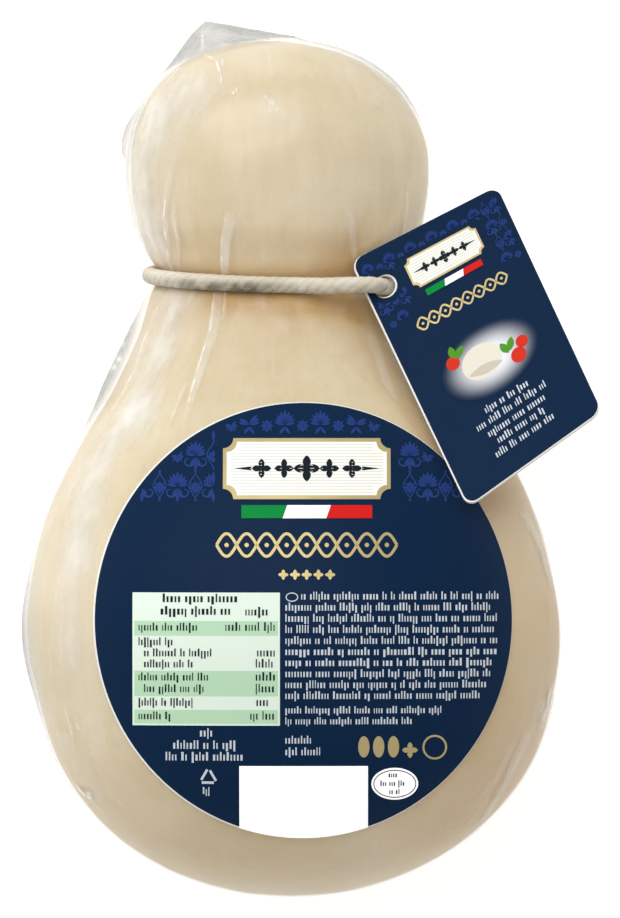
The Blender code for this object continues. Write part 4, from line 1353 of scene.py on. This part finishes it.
def tag_middle(across, along):
    u, v = (across / TAG_WIDTH)[..., None], (along / TAG_LENGTH)[..., None]
    top = np.array(TAG_TOP_LEFT) * (1 - u) + np.array(TAG_TOP_RIGHT) * u
    bottom = np.array(TAG_BOTTOM_LEFT) * (1 - u) + np.array(TAG_BOTTOM_RIGHT) * u
    return top * (1 - v) + bottom * v - np.array([0, 0, TAG_SAG]) * np.sin(pi * v)


def on_tag(x, y, out):
    """Points of the tag's middle layer, from (x, y) right and up of its centre, moved out square to it."""
    across, along = TAG_WIDTH / 2 + x, TAG_LENGTH / 2 - y
    step = SQUARE_STEP
    run_across = tag_middle(across + step, along) - tag_middle(across - step, along)
    run_along = tag_middle(across, along + step) - tag_middle(across, along - step)
    return tag_middle(across, along) + unit(np.cross(run_along, run_across)) * out


def round_hole(x, y, radius, count=40):
    turns = [2 * pi * k / count for k in range(count)]
    return [(x + radius * cos(turn), y + radius * sin(turn)) for turn in turns]


def in_tag_frieze(x, y):
    """True in the tag's upper part, off its panel and its hole."""
    within = (np.abs(x) < TAG_WIDTH / 2 - 0.7) & (y < TAG_LENGTH / 2 - 0.7)
    beside_panel = np.abs(x - TAG_PANEL.x) > TAG_PANEL.wide / 2 + 0.8
    over_panel = y > TAG_PANEL.y + TAG_PANEL.high / 2 + 0.6
    off_hole = np.hypot(x - TAG_HOLE[0], y - TAG_HOLE[1]) > TAG_HOLE_RADIUS + 0.9
    return within & (beside_panel | over_panel) & off_hole & (y > 12.4 - 0.35 * np.abs(x))


def tag_card():
    """White card between two navy faces. The front one leaves a little card bare at the rim and the hole."""
    half, wide, high = TAG_THICKNESS / 2, TAG_WIDTH / 2, TAG_LENGTH / 2
    outline = rounded_box(-wide, -high, wide, high, TAG_CORNER_RADIUS)
    hole = round_hole(*TAG_HOLE, TAG_HOLE_RADIUS)
    printed = rounded_box(TAG_RIM - wide, TAG_RIM / 2 - high, wide, high - 0.03, TAG_CORNER_RADIUS)
    printed_hole = round_hole(TAG_HOLE[0] + 0.15, TAG_HOLE[1] - 0.13, TAG_HOLE_RADIUS + 0.1)
    back_ink, face_ink = (print_material(name, NAVY) for name in ("tag_back_ink", "tag_face_ink"))
    for name, lift, thickness, loop, opening, material in (
        ("tag_core", TAG_SKIN - half, TAG_THICKNESS - 2 * TAG_SKIN, outline, hole, board_material()),
        ("tag_back", -half, TAG_SKIN, outline, hole, back_ink),
        ("tag_face", half - TAG_SKIN, TAG_SKIN, printed, printed_hole, face_ink),
    ):
        layer = Print(on_tag, lift, thickness)
        layer.fill(loop, [opening])
        layer.piece(name, "hang_tag", "tag", material)


def tag_glow():
    """A pale oval that fades into the ground at its rim."""
    glow = Print(on_tag, TAG_THICKNESS / 2 + INK_STEP - INK_SINK)
    turn = np.linspace(0, 2 * pi, GLOW_SIDES, endpoint=False)
    circle = joined(GLOW_HALF_WIDTH * np.cos(turn), GLOW_HALF_HEIGHT * np.sin(turn))
    reach = (np.arange(GLOW_RINGS) + 1) / GLOW_RINGS
    centre = np.array(GLOW_CENTRE)
    flat = np.concatenate([[centre], *(centre + circle * share for share in reach)])
    pairs = [(k, (k + 1) % GLOW_SIDES) for k in range(GLOW_SIDES)]
    faces = [[0, 1 + a, 1 + b] for a, b in pairs]
    for ring in range(GLOW_RINGS - 1):
        first, second = 1 + ring * GLOW_SIDES, 1 + (ring + 1) * GLOW_SIDES
        faces += [[first + a, second + a, second + b, first + b] for a, b in pairs]
    glow.plate(flat, faces, 1 - ramp(np.concatenate([[0], np.repeat(reach, GLOW_SIDES)]), 0.25, 1.0))
    glow.piece("tag_glow", "hang_tag", "tag", glow_material(NAVY), "glow")


def tag_picture(prints):
    """A plain oval cheese, with red fruit and two green leaves at each side of it."""
    prints["ivory"].disc(-0.9, -3.2, 3.3, 2.75, 16)
    prints["ivory_shade"].petal(-3.6, -4.3, 5.6, 1.5, radians(-6), 14)
    for x, y, size in ((-5.0, -1.0, 1.1), (4.6, -5.6, 1.25), (5.9, -3.9, 1.0)):
        prints["fruit"].disc(x, y, size, size, 10)
    leaves = ((-4.4, -0.6, 2.3, 35), (-4.6, -0.4, 2.0, 85), (3.6, -4.2, 2.2, 60), (3.4, -4.4, 2.2, 110))
    for x, y, length, turn in leaves:
        prints["leaves"].petal(x, y, length, 1.15, radians(turn), 10)


def hang_tag():
    tag_card()
    prints = empty_prints(TAG_INKS + PICTURE_INKS, on_tag, TAG_THICKNESS / 2)
    cartouche(prints, TAG_PANEL)
    tricolour(prints, TAG_PANEL.x, y=11.3, wide=9.6, high=1.1)
    interlace(prints["gold"], x=0.3, y=7.2, wide=15.6, high=2.3, loops=8, stroke=0.3)
    side, top = TAG_WIDTH / 2, TAG_LENGTH / 2
    frieze(prints, in_tag_frieze, left=-side, right=side, bottom=9.6, top=top, wide=3.6, high=3.1)
    tag_picture(prints)
    rng = random.Random(8)
    for y, half in TAG_TEXT_LINES:
        dashes(prints["pale_print"], rng, TAG_TEXT_MIDDLE - half, TAG_TEXT_MIDDLE + half, y, size=0.8)
    make_pieces(TAG_INKS, prints, "hang_tag", "tag")
    tag_glow()
    make_pieces(PICTURE_INKS, prints, "hang_tag", "tag")


# ---- The cord ----

CORD_STEPS = 960
CORD_SIDES = 42
CORD_PITCH = 6.2  # one turn of its twist
PLIES = 4
PLY_DEPTH = 0.06
YARNS = 15
YARN_DEPTH = 0.04
FUZZ_DEPTH = 0.04
CORD_PLUMPNESS = 0.15  # soft cotton bulges this much past the plain tube
FIBRES = 260  # loose ones that stand off it
FIBRE_RADIUS = 0.014
FIBRE_ROOT = 0.08  # how deep their ends are sunk in the cord


def cord_route():
    """The cord's route as in the part: round the neck, over the tag's corner and down through its hole."""
    angles = np.linspace(CORD_LEAVES, CORD_RETURNS, 31)
    clear = CORD_RADIUS + 0.3 + CORD_STANDS_OFF_BEHIND * np.maximum(0, -np.sin(angles))
    round_neck = surface(cord_y(angles), angles % (2 * pi), clear)
    return np.concatenate([np.array(CORD_OVER_TAG)[::-1], round_neck])


def even_loop(route, count):
    """The closed route as this many points at even distances, on a smooth curve through it."""
    before, after, after_next = (np.roll(route, shift, axis=0) for shift in (1, -1, -2))
    t = (np.arange(24) / 24)[None, :, None]
    start, end = route[:, None], after[:, None]
    pull = (end - before[:, None]) * (t**3 - 2 * t**2 + t) + (after_next[:, None] - start) * (t**3 - t**2)
    fine = (start + (end - start) * (3 * t**2 - 2 * t**3) + pull / 2).reshape(-1, 3)
    closed = np.concatenate([fine, fine[:1]])
    reached = np.concatenate([[0], np.cumsum(np.linalg.norm(np.diff(closed, axis=0), axis=1))])
    wanted = reached[-1] * np.arange(count) / count
    return joined(*(np.interp(wanted, reached, line) for line in closed.T)), reached[-1]


def carried_frames(points):
    """Two side directions at each point of a closed path, with no more twist than closes it."""
    ahead = unit(np.roll(points, -1, axis=0) - np.roll(points, 1, axis=0))
    side = np.cross(ahead[0], (0, 1, 0))
    sides = []
    for direction in [*ahead, ahead[0]]:
        side = unit(side - direction * side.dot(direction))
        sides.append(side)
    up = np.cross(ahead, sides[:-1])
    miss = np.arctan2(sides[-1].dot(up[0]), sides[-1].dot(sides[0]))
    turn = -miss * np.arange(len(points)) / len(points)
    first = np.array(sides[:-1])
    return (
        first * np.cos(turn)[:, None] + up * np.sin(turn)[:, None],
        up * np.cos(turn)[:, None] - first * np.sin(turn)[:, None],
    )


def neck_cord():
    """A soft cotton cord with a shallow twist of plies and finer yarns."""
    points, length = even_loop(cord_route(), CORD_STEPS)
    side, up = carried_frames(points)
    run = 2 * pi * np.arange(CORD_STEPS) / CORD_STEPS
    around = 2 * pi * np.arange(CORD_SIDES) / CORD_SIDES
    lay = around[None, :] + (round(length / CORD_PITCH) * run)[:, None]
    away = side[:, None] * np.cos(around)[None, :, None] + up[:, None] * np.sin(around)[None, :, None]
    middles = np.broadcast_to(points[:, None], away.shape)
    wander = 0.8 * noise_at(middles + away, 1.3)
    ply, yarn = np.abs(np.sin(PLIES / 2 * lay + wander)), np.abs(np.sin(YARNS / 2 * lay + 2 * wander))
    fuzz = FUZZ_DEPTH * (1 + noise_at(middles + away, 0.4))
    radius = CORD_RADIUS + CORD_PLUMPNESS - PLY_DEPTH * (1 - ply) - YARN_DEPTH * (1 - yarn) - fuzz
    shell = middles + away * radius[..., None]
    # groove: how deep in a groove each point lies, for painted shade there
    groove = 0.5 * (1 - ply) ** 2 + 0.6 * (1 - yarn) ** 2
    # painted shade on the cord's underside, strongest about x = -11.5
    shade_strength = 0.3 + 0.75 * bell(shell[..., 0] + 11.5, 7)
    shade = ramp(-away[..., 1], -0.8, 0.3) * shade_strength * (0.9 + 0.6 * noise_at(shell, 1.8))
    faces = []
    for i in range(CORD_STEPS):
        a, b = i * CORD_SIDES, (i + 1) % CORD_STEPS * CORD_SIDES
        faces += [[a + m, b + m, b + k, a + k] for k, m in zip(range(CORD_SIDES), [*range(1, CORD_SIDES), 0])]
    values = {"groove": np.clip(groove, 0, 1), "shade": np.clip(shade, 0, 1)}
    material = cotton_material()
    obj = add_mesh("neck_cord_twist", shell.reshape(-1, 3), faces, material, attributes=values)
    stand_for(obj, "neck_cord")
    loose_fibres(points, side, up, material)


def loose_fibres(points, side, up, material):
    """Short fine hairs that leave the cord aslant and curl back to it."""
    rng = random.Random(5)
    vertices, faces = [], []
    for _ in range(FIBRES):
        i, turn = rng.randrange(len(points)), rng.uniform(0, 2 * pi)
        away = side[i] * cos(turn) + up[i] * sin(turn)
        along = np.cross(side[i], up[i]) * rng.choice((-1, 1))
        across = np.cross(along, away)
        reach, rise = rng.uniform(0.5, 1.4), rng.uniform(0.08, 0.3)
        start = len(vertices)
        for t in np.linspace(0, 1, 6):
            out = CORD_RADIUS + CORD_PLUMPNESS - FIBRE_ROOT + rise * sin(pi * t)
            middle = points[i] + away * out + along * reach * t
            for corner in (0, 2 * pi / 3, 4 * pi / 3):
                vertices.append(middle + FIBRE_RADIUS * (away * cos(corner) + across * sin(corner)))
        for ring in range(5):
            for k in range(3):
                a, b = start + 3 * ring + k, start + 3 * ring + (k + 1) % 3
                faces.append([a, b, b + 3, a + 3])
    stand_for(add_mesh("neck_cord_fibres", vertices, faces, material), "neck_cord")


# ---- Stage, lights and camera ----

VIEW_HEIGHT = 133.75  # of the photograph's frame, on the level of the pear's outline
VIEW_LEVEL = 32.0
VIEW_CENTRE = -0.146
LENS = 600.0
SENSOR = 36.0
FLOOR_LEVEL = -0.1
FLOOR_HALF_WIDTH = 15000
CLIP_NEAR, CLIP_FAR = 0.1, 20.0  # in metres
FLOOR_GLOW = 0.72
WORLD_GLOW = 0.41


def floor():
    m = Material("pale_floor", 0.7, Specular_IOR_Level=0.2, Emission_Strength=FLOOR_GLOW)
    m.shader.inputs["Emission Color"].default_value = (1, 1, 1, 1)
    m.colour(m.mix(m.noise(60, detail=3), srgb(194, 194, 194), srgb(198, 198, 198)))
    half, level = FLOOR_HALF_WIDTH, FLOOR_LEVEL
    corners = [(-half, -half, level), (half, -half, level), (half, half, level), (-half, half, level)]
    add_mesh("floor", corners, [[0, 1, 2, 3]], m.material)


def softbox(name, place, wide, high, power):
    """An area light at place in metres, aimed at the pear's middle."""
    light = bpy.data.lights.new(name, "AREA")
    light.shape = "RECTANGLE"
    light.size, light.size_y = wide, high
    light.energy = power
    obj = bpy.data.objects.new(name, light)
    bpy.context.scene.collection.objects.link(obj)
    obj.location = place
    obj.rotation_euler = (Vector((0, 0, VIEW_LEVEL * MM)) - Vector(place)).to_track_quat("-Z", "Y").to_euler()


def lights():
    world = bpy.data.worlds.new("studio")
    world.use_nodes = True
    background = world.node_tree.nodes["Background"]
    background.inputs["Color"].default_value = (1, 1, 1, 1)
    background.inputs["Strength"].default_value = WORLD_GLOW
    bpy.context.scene.world = world
    softbox("key", (-0.35, 0.75, 1.05), 1.3, 1.1, 10.4)
    softbox("top", (-0.10, 0.15, 1.30), 0.8, 0.8, 3.2)
    softbox("left", (-0.80, 0.10, 0.17), 0.9, 0.32, 0.9)
    softbox("glare", (-0.04, 0.95, 0.80), 0.16, 0.12, 0.25)
    softbox("right", (0.8, -0.15, 0.6), 0.5, 0.8, 0.55)


def camera():
    data = bpy.data.cameras.new("camera")
    data.sensor_width = SENSOR
    data.lens = LENS
    away = VIEW_HEIGHT / SENSOR * LENS
    data.clip_start, data.clip_end = CLIP_NEAR, CLIP_FAR
    obj = bpy.data.objects.new("camera", data)
    bpy.context.scene.collection.objects.link(obj)
    obj.location = (VIEW_CENTRE * MM, VIEW_CENTRE * MM, (VIEW_LEVEL + away) * MM)
    bpy.context.scene.camera = obj
    bpy.context.scene.view_settings.view_transform = "Standard"


cheese()
film()
label()
hang_tag()
neck_cord()
floor()
lights()
camera()
